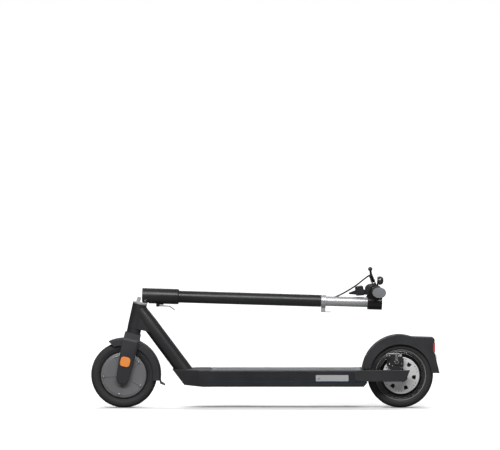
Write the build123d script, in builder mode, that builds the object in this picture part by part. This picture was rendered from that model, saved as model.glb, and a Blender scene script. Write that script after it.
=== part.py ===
from build123d import *

import os
from math import cos, radians, sin, tan

# Electric kick scooter, folded for carrying. Millimetres; nose towards -X, rider's right towards +Y.
#
# The origin is on the floor, in the middle of the length between the front tyre and the mud flap.
# Heights on the fork are counted along the steering axis from the front axle, and heights on the
# stem along the stem from the folding hinge, so each group keeps its shape when it is moved.

# ---------------------------------------------------------------- driving dimensions
# Wheels and layout
tyre_radius = 108
tyre_width = 50
wheelbase = 906
tail_reach = 127
steer_angle = 12.6
fold_angle = 79.1
running_gap = 0.05
rim_radius = 75
rim_lip_radius = 79
rim_width = 42
rim_wall = 7

# Deck
deck_width = 150
deck_rise = 19.5
deck_depth = 54.5
deck_wall = 4
battery_inset = 14
tray_height = 14.5
tray_floor = 3
led_height = 2.5
mat_thickness = 2.5
nose_gap = 52
nose_length = 125
nose_half_width = 37
badge_length = 106
badge_height = 20

# Neck and steering
head_radius = 23.5
head_gap = 47.8
head_length = 80.7
head_bore = 17.5
bearing_radius = 20.5
bearing_depth = 8
steerer_radius = 14.5
down_radius = 25.5
down_wall = 3.5
down_rise = 64.9
gusset_half = 21.5

# Fork and front mudguard
front_guard_gap = 13
guard_side_gap = 6
guard_wall = 2
fork_wall = 5.5
fork_cover = 6.5
leg_top_back = 24.5
leg_top_front = 26.5
leg_end_radius = 20.5
leg_end_drop = 6
reflector_size = 32
front_axle_radius = 5

# Fold
flange_height = 5
hinge_rise = 11.4
hinge_offset = 15
hinge_pin_radius = 3.25
lug_radius = 9
lug_half = 12
housing_radius = 25.25
housing_bore = 21.25
housing_low = -10.5
housing_high = 108

# Stem
stem_tube_radius = 19.75
stem_tube_wall = 2.5
stem_tube_low = 62
stem_tube_high = 576
collar_height = 15
upper_tube_radius = 16.25
upper_tube_wall = 2
head_block_radius = 23.6
head_block_low = 729
head_block_height = 47
bar_height = 753
bar_forward = 38.6

# Handlebar and what it carries
bar_width = 430
bar_radius = 11.1
bar_bore = 8.9
bar_centre_radius = 15.9
grip_length = 111
grip_radius = 15.5
lever_drop_angle = 21.6
lever_reach = 80
lever_pivot_forward = 38
lever_pivot_side = 82
lever_half = 3
cable_radius = 2.5
bell_radius = 14

# Rear end
arm_inset = 13
arm_wall = 8
arm_cover_wall = 2.8
rear_guard_gap = 18
rear_guard_swell = 1.6
rear_guard_half = 33
rear_guard_wall = 2.5
rear_axle_radius = 6
rotor_radius = 60
rotor_side = 35
rotor_thickness = 2
pad_radius = 10
pad_travel = 0.4
pad_inset = 14
button_travel = 1.2

# ---------------------------------------------------------------- places worked out from them
front_x = tyre_radius - (tyre_radius + wheelbase + tail_reach) / 2
rear_x = front_x + wheelbase
axle_z = tyre_radius
deck_half = deck_width / 2
arm_half = deck_half - arm_inset
deck_top = axle_z + deck_rise
deck_bottom = deck_top - deck_depth
tray_top = deck_bottom + tray_height
chassis_low = tray_top + led_height
chassis_top = deck_top - 1
nose_front = front_x + tyre_radius + nose_gap
nose_end = nose_front + nose_length
chassis_end = rear_x - tyre_radius - 14
arm_low = axle_z - 15
arm_high = axle_z + 17
cover_low = axle_z - 17

head_low = tyre_radius + head_gap
head_high = head_low + head_length
flange_low = head_high + 0.5
flange_high = flange_low + flange_height
hinge_height = flange_high + hinge_rise
front_guard_radius = tyre_radius + front_guard_gap
guard_half = tyre_width / 2 + guard_side_gap
leg_inner = guard_half + 3
leg_outer = leg_inner + fork_wall
cover_outer = leg_outer + fork_cover
crown_low = front_guard_radius + 2.5

steer = radians(steer_angle)
lean = radians(steer_angle + fold_angle)
across = Vector(0, 1, 0)
steer_up = Vector(sin(steer), 0, cos(steer))
steer_back = Vector(cos(steer), 0, -sin(steer))
stem_up = Vector(sin(lean), 0, cos(lean))
stem_back = Vector(cos(lean), 0, -sin(lean))

front_hub = Vector(front_x, 0, axle_z)
rear_hub = Vector(rear_x, 0, axle_z)
hinge_point = front_hub + steer_up * hinge_height + steer_back * hinge_offset
stem_foot = hinge_point - stem_back * hinge_offset
bar_point = stem_foot + stem_up * bar_height - stem_back * bar_forward

fork_plane = Plane(origin=front_hub, x_dir=steer_back, z_dir=steer_up)
fork_side = Plane(origin=front_hub, x_dir=steer_back, z_dir=-across)
fork_face = Plane(origin=front_hub, x_dir=across, z_dir=steer_back)
stem_plane = Plane(origin=stem_foot, x_dir=stem_back, z_dir=stem_up)
stem_side = Plane(origin=stem_foot, x_dir=stem_back, z_dir=-across)
front_side = Plane(origin=front_hub, x_dir=(1, 0, 0), z_dir=-across)
rear_side = Plane(origin=rear_hub, x_dir=(1, 0, 0), z_dir=-across)

down_top = front_hub + steer_up * (head_low + down_rise)
down_foot = Vector(nose_front + 54.7, 0, deck_top - 27.5)
down_run = down_foot - down_top
down_dir = down_run.normalized()
down_plane = Plane(origin=down_top, x_dir=across, z_dir=down_dir)


# ---------------------------------------------------------------- helpers
def outline(*points):
    """Fill a closed run of straight lines in the sketch being made."""
    with BuildLine() as loop:
        Polyline(*points, close=True)
    make_face(loop.line.edges())


def tube(plane, low, high, outer, inner=0, mode=Mode.ADD, centre=(0, 0)):
    """A round bar, tube or hole between two distances from a plane, in the part being made."""
    with BuildSketch(plane.offset(low)) as section:
        with Locations(centre):
            Circle(outer)
            if inner:
                Circle(inner, mode=Mode.SUBTRACT)
    extrude(section.sketch, amount=high - low, mode=mode)


def slab(plane, low, high, *points, rounding=0, mode=Mode.ADD):
    """A straight-sided plate between two distances from a plane, its corners rounded alike."""
    with BuildSketch(plane.offset(low)) as section:
        outline(*points)
        if rounding:
            fillet(section.vertices(), radius=rounding)
    extrude(section.sketch, amount=high - low, mode=mode)


def block(low, high, mode=Mode.ADD):
    """A box between two opposite corners."""
    size = Vector(high) - Vector(low)
    with BuildSketch(Plane.XY.offset(low[2])) as section:
        with Locations((low[0] + size.X / 2, low[1] + size.Y / 2)):
            Rectangle(size.X, size.Y)
    extrude(section.sketch, amount=size.Z, mode=mode)


def spin(hub, *points, mode=Mode.ADD):
    """Turn an outline of (radius, side) points about a wheel's axle."""
    with BuildSketch(Plane(origin=hub, x_dir=(1, 0, 0), z_dir=(0, 0, 1))) as section:
        outline(*points)
    revolve(section.sketch, axis=Axis(hub, across), mode=mode)


def bar_cross(side, turn=0):
    """The plane across the handlebar at a distance to the rider's right; local x points forward."""
    forward = (-stem_back).rotate(Axis((0, 0, 0), across), turn)
    return Plane(origin=bar_point + across * side, x_dir=forward, z_dir=across)


def cord_path(points):
    """Straight runs joined by arcs as large as the shorter run beside each corner allows."""
    corners = [Vector(point) for point in points]
    radii = []
    for before, here, after in zip(corners, corners[1:], corners[2:]):
        turn = radians((here - before).get_angle(after - here))
        run = min((here - before).length, (after - here).length)
        radii.append(0.45 * run / tan(turn / 2))
    print("cable radii", [round(radius, 1) for radius in radii])
    return FilletPolyline(*corners, radius=radii)


# ================================================================ neck and frame
with BuildPart() as frame_neck:
    tube(fork_plane, head_low, head_high, head_radius)
    blend_length = 60
    with BuildSketch(down_plane):
        Circle(head_radius)
    with BuildSketch(down_plane.offset(blend_length)):
        Circle(down_radius)
    loft()
    tube(down_plane, blend_length, down_run.length, down_radius)
    down_slope = Vector(down_dir.dot(steer_back), down_dir.dot(steer_up))
    gusset_reach = -down_slope.X / down_slope.Y * down_rise
    slab(
        fork_side,
        -gusset_half,
        gusset_half,
        (0, head_low),
        (gusset_reach, head_low),
        (0, head_low + down_rise),
    )
    tube(fork_plane, head_high, head_high + 40, 2 * head_radius, mode=Mode.SUBTRACT)
    tube(fork_plane, head_low, head_high, head_bore, mode=Mode.SUBTRACT)
    tube(fork_plane, head_low, head_low + bearing_depth, bearing_radius, mode=Mode.SUBTRACT)
    tube(fork_plane, head_high - bearing_depth, head_high, bearing_radius, mode=Mode.SUBTRACT)
    tube(down_plane, blend_length + 10, down_run.length, down_radius - down_wall, mode=Mode.SUBTRACT)

with BuildPart() as head_bearings:
    bearing_bore = steerer_radius + running_gap
    for low in (head_low, head_high - bearing_depth):
        tube(fork_plane, low + 0.5, low + bearing_depth - 0.5, bearing_radius, bearing_bore)

# ================================================================ deck
with BuildPart() as deck_nose:
    slab(
        Plane.XZ,
        -deck_half,
        deck_half,
        (nose_front, deck_top),
        (nose_end, deck_top),
        (nose_end, deck_bottom),
        (nose_front + 102, deck_bottom),
        (nose_front + 39, deck_bottom + 5),
    )
    with BuildSketch(Plane.XY.offset(deck_bottom)):
        outline(
            (nose_front, -nose_half_width),
            (nose_front + 88, -deck_half),
            (nose_end, -deck_half),
            (nose_end, deck_half),
            (nose_front + 88, deck_half),
            (nose_front, nose_half_width),
        )
    extrude(amount=deck_depth, mode=Mode.INTERSECT)
    fillet(deck_nose.edges().group_by(Axis.Z)[-1].filter_by(Axis.Y, reverse=True), radius=3)
    tube(down_plane, 0, down_run.length, down_radius, mode=Mode.SUBTRACT)
    block(
        (nose_front + 75, -deck_half + 12, deck_bottom + 8),
        (nose_end, deck_half - 12, deck_top - 8),
        mode=Mode.SUBTRACT,
    )

rail_half = deck_half - 9
screw_columns = 5
screw_pitch = (chassis_end - nose_end - 40) / (screw_columns - 1)
screw_centre = (nose_end + chassis_end) / 2
charge_x = nose_end + 195
charge_z = chassis_low + 17
charge_radius = 10
with BuildPart() as deck_chassis:
    block((nose_end, -deck_half, chassis_low), (chassis_end, deck_half, chassis_top))
    fillet(deck_chassis.edges().filter_by(Axis.X).group_by(Axis.Z)[-1], radius=3)
    block(
        (nose_end, deck_wall - deck_half, chassis_low),
        (chassis_end - 10, deck_half - deck_wall, chassis_top - 5),
        mode=Mode.SUBTRACT,
    )
    block(
        (nose_end + 5, 7 - deck_half, deck_top - mat_thickness),
        (chassis_end - 9, deck_half - 7, chassis_top),
        mode=Mode.SUBTRACT,
    )
    for side in (-1, 1):
        edges = sorted((side * (deck_half - deck_wall), side * (deck_half - 16)))
        block((nose_end, edges[0], chassis_low), (chassis_end - 10, edges[1], chassis_low + 4))
    with Locations((screw_centre, 0, chassis_low)):
        with GridLocations(screw_pitch, 2 * rail_half, screw_columns, 2):
            Hole(radius=2, depth=30)
    with Locations(Plane(origin=(charge_x, deck_half, charge_z), z_dir=across)):
        Hole(radius=charge_radius, depth=deck_wall)

with BuildPart() as bottom_cover:
    slab(
        Plane.XZ,
        -deck_half,
        deck_half,
        (nose_end, deck_bottom),
        (chassis_end - 1, deck_bottom),
        (chassis_end + 11, tray_top),
        (nose_end, tray_top),
    )
    fillet(bottom_cover.edges().filter_by(Axis.X).group_by(Axis.Z)[0], radius=4)
    block(
        (nose_end + 3, deck_wall - deck_half, deck_bottom + tray_floor),
        (chassis_end - 3, deck_half - deck_wall, tray_top),
        mode=Mode.SUBTRACT,
    )
    with Locations((screw_centre, 0, deck_bottom)):
        with GridLocations(screw_pitch, 2 * rail_half, screw_columns, 2):
            Hole(radius=2, depth=30)
            Cylinder(4.2, 4, mode=Mode.SUBTRACT)

with BuildPart() as cover_screws:
    with Locations((screw_centre, 0, deck_bottom)):
        with GridLocations(screw_pitch, 2 * rail_half, screw_columns, 2):
            Cylinder(4, 1.8, align=(Align.CENTER, Align.CENTER, Align.MIN))
            Cylinder(1.9, tray_height + 5, align=(Align.CENTER, Align.CENTER, Align.MIN))
            Cylinder(1.5, 2, mode=Mode.SUBTRACT)

with BuildPart() as deck_mat:
    mat_half = deck_half - 7.3
    mat_front = nose_end + 5.3
    mat_end = chassis_end - 9.3
    block((mat_front, -mat_half, deck_top - mat_thickness), (mat_end, mat_half, deck_top))
    groove_pitch = 7.5
    groove_count = int((2 * mat_half - 12) / groove_pitch)
    with BuildSketch(Plane.XY.offset(deck_top)):
        with Locations(((mat_front + mat_end) / 2, 0)):
            with GridLocations(0, groove_pitch, 1, groove_count):
                SlotOverall(mat_end - mat_front - 24, 3)
    extrude(amount=-1.2, mode=Mode.SUBTRACT)

with BuildPart() as led_strips:
    for side in (-1, 1):
        edges = sorted((side * (deck_half + 0.2), side * (deck_half - deck_wall)))
        block((nose_end + 0.2, edges[0], tray_top), (chassis_end, edges[1], chassis_low))

with BuildPart() as side_badges:
    badge_end = chassis_end - 51
    badge_low = chassis_low + 1.6
    badge_plane = Plane.XZ.offset(deck_half)
    slab(
        badge_plane,
        0,
        1.2,
        (badge_end - badge_length, badge_low),
        (badge_end, badge_low),
        (badge_end, badge_low + badge_height),
        (badge_end - badge_length, badge_low + badge_height),
        rounding=2,
    )
    badge_screw = (badge_end - badge_length + badge_height / 2, badge_low + badge_height / 2)
    tube(badge_plane, 1.2, 1.8, 5, 3.4, centre=badge_screw)
    mirror(about=Plane.XZ)

# ================================================================ inside the deck
battery_width = 2 * (rail_half - battery_inset)
battery_height = 36
inside_floor = deck_bottom + tray_floor
with BuildPart() as battery_pack:
    battery_front = nose_end + 110
    battery_end = chassis_end - 20
    block(
        (battery_front, -battery_width / 2, inside_floor),
        (battery_end, battery_width / 2, inside_floor + battery_height),
    )
    fillet(battery_pack.edges().filter_by(Axis.X), radius=5)

with BuildPart() as controller:
    block((nose_end + 8, -40, inside_floor), (nose_end + 98, 40, inside_floor + 24))
    with Locations((nose_end + 53, 0, inside_floor + 24)):
        with GridLocations(8, 0, 10, 1):
            Box(3, 72, 6, align=(Align.CENTER, Align.CENTER, Align.MIN))

# ================================================================ charge port and its cap
port_plane = Plane(origin=(charge_x, 0, charge_z), x_dir=(1, 0, 0), z_dir=across)
cap_inner = deck_half + 1.8
with BuildPart() as charge_port:
    tube(port_plane, deck_half - 16, deck_half, charge_radius)
    tube(port_plane, deck_half, deck_half + 1, charge_radius + 2)
    tube(port_plane, deck_half - 11, deck_half + 1, 4, mode=Mode.SUBTRACT)

with BuildPart() as charge_cap:
    tube(port_plane, cap_inner, cap_inner + 2.5, charge_radius + 2)
    cap_top = charge_radius + 1
    block(
        (charge_x - 4, cap_inner, charge_z + cap_top - 3),
        (charge_x + 4, cap_inner + 2.5, charge_z + cap_top + 1),
    )

# ================================================================ kickstand
stand_x = nose_end + 55
stand_length = 92
stand_point = Vector(stand_x, deck_half + 13, axle_z - 10)
stand_axis = Vector(0, 1, 0.35).normalized()
stand_plane = Plane(origin=stand_point, x_dir=(1, 0, 0), z_dir=stand_axis)
with BuildPart() as kickstand_bracket:
    slab(
        Plane.XZ,
        -deck_half - 4,
        -deck_half,
        (stand_x - 22, chassis_low + 2),
        (stand_x + 22, chassis_low + 2),
        (stand_x + 14, chassis_low + 26),
        (stand_x - 14, chassis_low + 26),
        rounding=3,
    )
    tube(stand_plane, -10.5, -4.4, 8)
    tube(stand_plane, -10.5, 5, 4)
    tube(stand_plane, 4.4, 6.4, 6.5)

with BuildPart() as kickstand:
    tube(stand_plane, -4, 4, 9.5)
    slab(
        stand_plane,
        -3,
        3,
        (0, -8),
        (stand_length - 6, -5),
        (stand_length, 0),
        (stand_length, 5),
        (0, 8),
    )
    slab(
        stand_plane,
        -5,
        5,
        (stand_length - 10, -6),
        (stand_length + 2, -6),
        (stand_length + 4, 7),
        (stand_length - 10, 7),
        rounding=2,
    )
    tube(stand_plane, -5, 5, 4 + running_gap, mode=Mode.SUBTRACT)

# ================================================================ rear arms
arm_inner = arm_half - arm_wall / 2
arm_outer = arm_half + arm_wall / 2
with BuildPart() as rear_dropouts:
    slab(
        Plane.XZ,
        arm_inner,
        arm_outer,
        (chassis_end, arm_low),
        (rear_x + 14, arm_low),
        (rear_x + 19, arm_low + 6),
        (rear_x + 19, arm_high - 6),
        (rear_x + 14, arm_high),
        (chassis_end, arm_high),
    )
    block((chassis_end, -deck_half + 3, arm_low), (chassis_end + 6, -arm_inner + 14, arm_high))
    tube(rear_side, 0, deck_half, rear_axle_radius, mode=Mode.SUBTRACT)
    mirror(about=Plane.XZ)

with BuildPart() as arm_covers:
    cover_front = chassis_end - 31
    cover_end = rear_x + 27
    cover_side = deck_half + arm_cover_wall
    slab(
        Plane.XZ,
        deck_half + 0.2,
        cover_side,
        (cover_front, cover_low),
        (cover_end - 16, cover_low),
        (cover_end, deck_top),
        (cover_front, deck_top),
    )
    fillet(arm_covers.edges().filter_by(Axis.Y).group_by(Axis.X)[0], radius=11)
    slab(
        Plane.XZ,
        arm_outer + 0.3,
        deck_half + 0.2,
        (chassis_end + 6.5, cover_low),
        (cover_end - 16, cover_low),
        (cover_end, deck_top),
        (chassis_end + 6.5, deck_top),
    )
    slab(
        Plane.XZ,
        arm_outer,
        deck_half + 0.2,
        (chassis_end, cover_low + 2),
        (cover_end - 18, cover_low + 2),
        (cover_end - 4, deck_top - 2.3),
        (chassis_end, deck_top - 2.3),
        mode=Mode.SUBTRACT,
    )
    fillet(arm_covers.faces().sort_by(Axis.Y)[0].outer_wire().edges(), radius=1.2)
    mirror(about=Plane.XZ)

with BuildPart() as rear_axle:
    spacer_inner = 30.3
    tube(rear_side, -arm_outer - 7, arm_outer + 7, rear_axle_radius)
    for side in (-1, 1):
        ends = sorted((side * spacer_inner, side * arm_inner))
        tube(rear_side, ends[0], ends[1], rear_axle_radius + 3)
        nut = sorted((side * arm_outer, side * (arm_outer + 6)))
        with BuildSketch(rear_side.offset(nut[0])):
            RegularPolygon(radius=10, side_count=6)
        extrude(amount=6)

# ================================================================ rear mudguard and lamp
guard_x = rear_x + 2
guard_z = axle_z + 5
rear_guard_radius = tyre_radius + rear_guard_gap + rear_guard_swell
tail_x = rear_x + 111
tail_top = axle_z + 123
tip_x = rear_x + tail_reach
tip_z = axle_z + 7
lamp_low = axle_z + 76
lamp_high = axle_z + 106
lamp_half = 22


def rear_guard_profile(inset):
    """Side outline of the rear mudguard and its tail, drawn in by a distance."""
    with BuildSketch(Plane.XZ) as profile:
        with Locations((guard_x, guard_z)):
            Circle(rear_guard_radius - inset)
        with Locations((rear_x + rear_guard_radius, axle_z)):
            Rectangle(2 * rear_guard_radius, 3 * rear_guard_radius, mode=Mode.SUBTRACT)
        outline(
            (rear_x, axle_z + 60),
            (rear_x, guard_z + rear_guard_radius - inset),
            (rear_x + 18, guard_z + rear_guard_radius - 2 - inset),
            (rear_x + 40, tail_top + 2 - inset),
            (tail_x - 4, tail_top - inset),
            (tail_x - inset, tail_top - 6 - inset),
            (tail_x - inset, axle_z + 74),
            (tail_x + 2 - inset, axle_z + 66),
            (tip_x - inset, tip_z - 10 * bool(inset)),
            (rear_x + 60, axle_z + 10 - 20 * bool(inset)),
        )
    return profile.sketch


with BuildPart() as rear_mudguard:
    for inset, set_in in ((0, 1.8), (0.6, 0.6), (1.8, 0)):
        extrude(rear_guard_profile(inset), amount=rear_guard_half - set_in, both=True)
    extrude(
        rear_guard_profile(rear_guard_wall),
        amount=rear_guard_half - rear_guard_wall,
        both=True,
        mode=Mode.SUBTRACT,
    )
    tube(rear_side, -deck_half, deck_half, tyre_radius - 7, mode=Mode.SUBTRACT)
    block((rear_x - 140, -deck_half, -30), (rear_x, deck_half, deck_top + 1.5), mode=Mode.SUBTRACT)
    block((rear_x, -deck_half, -30), (rear_x + 140, deck_half, tip_z), mode=Mode.SUBTRACT)
    slab(
        Plane.XZ,
        -26,
        26,
        (chassis_end - 8, chassis_top),
        (chassis_end + 7, chassis_top),
        (chassis_end + 7, deck_top + 12),
        (chassis_end + 3, deck_top + 12),
        (chassis_end + 1, deck_top + 3),
        (chassis_end - 8, deck_top + 2),
    )
    block(
        (tail_x - 10, -lamp_half, lamp_low),
        (tail_x + 5, lamp_half, lamp_high),
        mode=Mode.SUBTRACT,
    )

with BuildPart() as tail_light:
    lamp_seat = tail_x - rear_guard_wall
    block(
        (lamp_seat - 8, -lamp_half + 0.2, lamp_low + 0.2),
        (tail_x + 1.2, lamp_half - 0.2, lamp_high - 0.2),
    )
    fillet(tail_light.faces().sort_by(Axis.X)[-1].edges(), radius=1)
    block(
        (lamp_seat - 8, -lamp_half + 2, lamp_low + 2),
        (tail_x - 1, lamp_half - 2, lamp_high - 2),
        mode=Mode.SUBTRACT,
    )

# ================================================================ fork
neck_low = crown_low + 14


def leg_profile(grow):
    """Side outline of a fork leg, drawn out by a distance."""
    with BuildSketch(fork_side) as profile:
        with Locations((0, -leg_end_drop)):
            Circle(leg_end_radius + grow)
        outline(
            (-leg_end_radius - grow, -leg_end_drop),
            (leg_end_radius + grow, -leg_end_drop),
            (leg_top_back + grow, tyre_radius - 18),
            (leg_top_back + grow, crown_low + 30),
            (-leg_top_front - grow, crown_low + 30),
            (-leg_top_front - grow, tyre_radius - 18),
        )
    return profile.sketch


with BuildPart() as fork:
    fork_foot = -leg_end_radius - leg_end_drop - 5
    with BuildSketch(fork_face):
        outline(
            (-leg_outer, fork_foot),
            (-leg_outer, crown_low - 4),
            (-head_radius, crown_low + 16),
            (head_radius, crown_low + 16),
            (leg_outer, crown_low - 4),
            (leg_outer, fork_foot),
            (leg_inner, fork_foot),
            (leg_inner, crown_low - 6),
            (leg_inner - 6, crown_low),
            (6 - leg_inner, crown_low),
            (-leg_inner, crown_low - 6),
            (-leg_inner, fork_foot),
        )
    extrude(amount=2 * leg_top_front, both=True)
    extrude(leg_profile(0), amount=cover_outer, both=True, mode=Mode.INTERSECT)
    tube(fork_plane, neck_low, head_low - 0.8, head_radius - 0.5)
    tube(fork_plane, head_low - 3, flange_high, steerer_radius, steerer_radius - 3)
    tube(fork_side, -cover_outer, cover_outer, front_axle_radius, mode=Mode.SUBTRACT)

with BuildPart() as fork_covers:
    cover_top = crown_low - 2
    for grow, set_in in ((1, 1.5), (0.5, 0.5), (-0.5, 0)):
        extrude(leg_profile(grow), amount=cover_outer - set_in)
    tube(fork_plane, cover_top, cover_top + 60, 3 * head_radius, mode=Mode.SUBTRACT)
    slab(
        fork_plane,
        -60,
        cover_top + 1,
        (leg_top_back - 6, -cover_outer - 1),
        (leg_top_back + 2, -cover_outer - 1),
        (leg_top_back + 2, -leg_outer - 1.5),
        mode=Mode.SUBTRACT,
    )
    slab(
        fork_face,
        -2 * leg_top_front,
        2 * leg_top_front,
        (-cover_outer - 1, cover_top - 8),
        (-cover_outer - 1, cover_top + 1),
        (-leg_outer - 1, cover_top + 1),
        mode=Mode.SUBTRACT,
    )
    block(
        (front_x - 100, -leg_outer, 0),
        (front_x + 140, deck_half, head_high + axle_z),
        mode=Mode.SUBTRACT,
    )
    tube(fork_side, leg_outer, cover_outer - 2, 12, mode=Mode.SUBTRACT)
    mirror(about=Plane.XZ)

with BuildPart() as fork_reflectors:
    with BuildSketch(fork_side.offset(cover_outer)):
        with Locations((-3.7, 45)):
            RectangleRounded(reflector_size, reflector_size, 10)
    extrude(amount=2.2)
    fillet(fork_reflectors.faces().sort_by(Axis.Y)[0].edges(), radius=1)
    mirror(about=Plane.XZ)

with BuildPart() as front_mudguard:
    skirt_radius = tyre_radius - 11
    shell_radius = front_guard_radius - guard_wall
    spin(
        front_hub,
        (skirt_radius, -guard_half),
        (front_guard_radius - 5, -guard_half),
        (front_guard_radius, 6 - guard_half),
        (front_guard_radius, guard_half - 6),
        (front_guard_radius - 5, guard_half),
        (skirt_radius, guard_half),
        (skirt_radius, guard_half - guard_wall),
        (shell_radius - 4.5, guard_half - guard_wall),
        (shell_radius, guard_half - 6.5),
        (shell_radius, 6.5 - guard_half),
        (shell_radius - 4.5, guard_wall - guard_half),
        (skirt_radius, guard_wall - guard_half),
    )
    slab(
        front_side,
        -guard_half,
        guard_half,
        (-30, skirt_radius - 6),
        (-51, tyre_radius + 4),
        (-40, tyre_radius + 60),
        (tyre_radius + 60, tyre_radius + 60),
        (tyre_radius + 60, -18),
        (skirt_radius - 20, -18),
        (0, 10),
        mode=Mode.INTERSECT,
    )
    slab(
        front_side,
        -guard_half + 6,
        guard_half - 6,
        (shell_radius - 2.5, -12),
        (front_guard_radius - 1.5, -12),
        (front_guard_radius + 1, -24),
        (front_guard_radius + 14, -32),
        (front_guard_radius + 13.5, -34),
        (front_guard_radius - 2, -28),
    )
    tube(fork_plane, shell_radius, crown_low, 11)

# ================================================================ fold base and hinge pin
with BuildPart() as fold_base:
    tube(fork_plane, flange_low, flange_high, head_radius)
    fillet(fold_base.edges().filter_by(GeomType.CIRCLE).group_by(SortBy.DISTANCE)[0], radius=0.8)
    tube(fork_side, -lug_half, lug_half, lug_radius, centre=(hinge_offset, hinge_height))
    slab(
        fork_side,
        -lug_half,
        lug_half,
        (hinge_offset - lug_radius, flange_high - 1),
        (hinge_offset + lug_radius - 1, flange_high - 1),
        (hinge_offset + lug_radius, hinge_height),
        (hinge_offset - lug_radius, hinge_height),
    )
    slab(
        fork_side,
        -10,
        10,
        (-14, flange_high - 1),
        (-1, flange_high - 1),
        (-1, flange_high + 17),
        (-12, flange_high + 18),
    )
    tube(fork_plane, flange_low, flange_high, steerer_radius, mode=Mode.SUBTRACT)
    tube(
        fork_side,
        -lug_half,
        lug_half,
        hinge_pin_radius,
        centre=(hinge_offset, hinge_height),
        mode=Mode.SUBTRACT,
    )

pin_half = (housing_radius**2 - hinge_offset**2) ** 0.5 + 1.2
with BuildPart() as hinge_pin:
    tube(fork_side, -pin_half, pin_half, hinge_pin_radius, centre=(hinge_offset, hinge_height))
    chamfer(hinge_pin.edges().filter_by(GeomType.CIRCLE), length=0.6)

# ================================================================ stem
with BuildPart() as stem_housing:
    tube(stem_plane, housing_low, housing_high, housing_radius)
    fillet(stem_housing.edges().filter_by(GeomType.CIRCLE).sort_by(Axis.X)[-1], radius=2)
    tube(stem_plane, housing_low, stem_tube_low, housing_bore, mode=Mode.SUBTRACT)
    tube(stem_plane, stem_tube_low, housing_high, stem_tube_radius, mode=Mode.SUBTRACT)
    corner_radius = housing_radius - hinge_offset
    with BuildSketch(stem_side) as corner:
        outline(
            (hinge_offset, 0),
            (hinge_offset, housing_low - 1),
            (housing_radius + 1, housing_low - 1),
            (housing_radius + 1, 0),
        )
        with Locations((hinge_offset, 0)):
            Circle(corner_radius, mode=Mode.SUBTRACT)
    extrude(amount=housing_radius, both=True, mode=Mode.SUBTRACT)
    slab(
        stem_side,
        -lug_half - 0.4,
        lug_half + 0.4,
        (0, housing_low - 1),
        (housing_radius + 1, housing_low - 1),
        (housing_radius + 1, lug_radius + 2),
        (0, lug_radius + 2),
        mode=Mode.SUBTRACT,
    )
    tube(
        stem_side,
        -housing_radius,
        housing_radius,
        hinge_pin_radius + running_gap,
        centre=(hinge_offset, 0),
        mode=Mode.SUBTRACT,
    )

with BuildPart() as stem_tube:
    stem_tube_bore = stem_tube_radius - stem_tube_wall
    tube(stem_plane, stem_tube_low, stem_tube_high, stem_tube_radius, stem_tube_bore)

collar_low = stem_tube_high + 1
collar_high = collar_low + collar_height
with BuildPart() as stem_collar:
    tube(stem_plane, collar_low - 20, collar_low, stem_tube_bore, upper_tube_radius)
    tube(stem_plane, collar_low, collar_high, stem_tube_radius + 0.6, upper_tube_radius)
    fillet(
        stem_collar.edges().filter_by(GeomType.CIRCLE).sort_by(SortBy.RADIUS)[-2:],
        radius=0.8,
    )

hook_half = 5
with BuildPart() as bag_hook:
    hook_end = stem_tube_radius + 17
    slab(
        stem_side,
        -hook_half,
        hook_half,
        (stem_tube_radius - 3, collar_low + 0.5),
        (hook_end, collar_low + 0.5),
        (hook_end, collar_high + 17),
        (hook_end - 2.6, collar_high + 17),
        (hook_end - 2.6, collar_high - 0.5),
        (stem_tube_radius - 3, collar_high - 0.5),
    )
    tube(stem_plane, collar_low, collar_high, stem_tube_radius + 0.6, mode=Mode.SUBTRACT)

with BuildPart() as upper_tube:
    upper_tube_bore = upper_tube_radius - upper_tube_wall
    tube(stem_plane, collar_low - 60, head_block_low + 14, upper_tube_radius, upper_tube_bore)
    tube(stem_side, 0, upper_tube_radius, 1, mode=Mode.SUBTRACT, centre=(-50, collar_high + 60))
    cable_entry = collar_high + 26
    slab(
        stem_side,
        -cable_radius - 1.6,
        cable_radius + 1.6,
        (-upper_tube_radius - 1, cable_entry - 10),
        (-upper_tube_radius - 1, cable_entry + 26),
        (-upper_tube_bore + 3, cable_entry + 26),
        (-upper_tube_bore + 3, cable_entry - 10),
        mode=Mode.SUBTRACT,
    )

head_block_high = head_block_low + head_block_height
display_low = head_block_high - 6
with BuildPart() as bar_clamp:
    tube(stem_plane, head_block_low, head_block_high, head_block_radius)
    slab(
        stem_side,
        -21,
        21,
        (0, head_block_low + 2),
        (-bar_forward, bar_height - 21),
        (-bar_forward - 15, bar_height - 15),
        (-bar_forward - 21, bar_height),
        (-bar_forward - 15, bar_height + 15),
        (-bar_forward, bar_height + 21),
        (0, head_block_high - 3),
    )
    tube(stem_plane, head_block_low, head_block_low + 14, upper_tube_radius, mode=Mode.SUBTRACT)
    tube(stem_plane, display_low, head_block_high, head_block_radius - 2.4, mode=Mode.SUBTRACT)
    tube(
        stem_side,
        -30,
        30,
        bar_centre_radius,
        mode=Mode.SUBTRACT,
        centre=(-bar_forward, bar_height),
    )

button_radius = 4.5
with BuildPart() as display:
    tube(stem_plane, display_low, head_block_high - 0.4, head_block_radius - 2.4)
    tube(stem_plane, display_low, head_block_high, button_radius + 0.2, mode=Mode.SUBTRACT, centre=(11, 0))

with BuildPart() as power_button:
    tube(stem_plane, display_low + button_travel + 0.4, head_block_high + 0.8, button_radius, centre=(11, 0))
    fillet(power_button.edges().filter_by(GeomType.CIRCLE).sort_by(Axis.X)[-1], radius=0.6)

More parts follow.
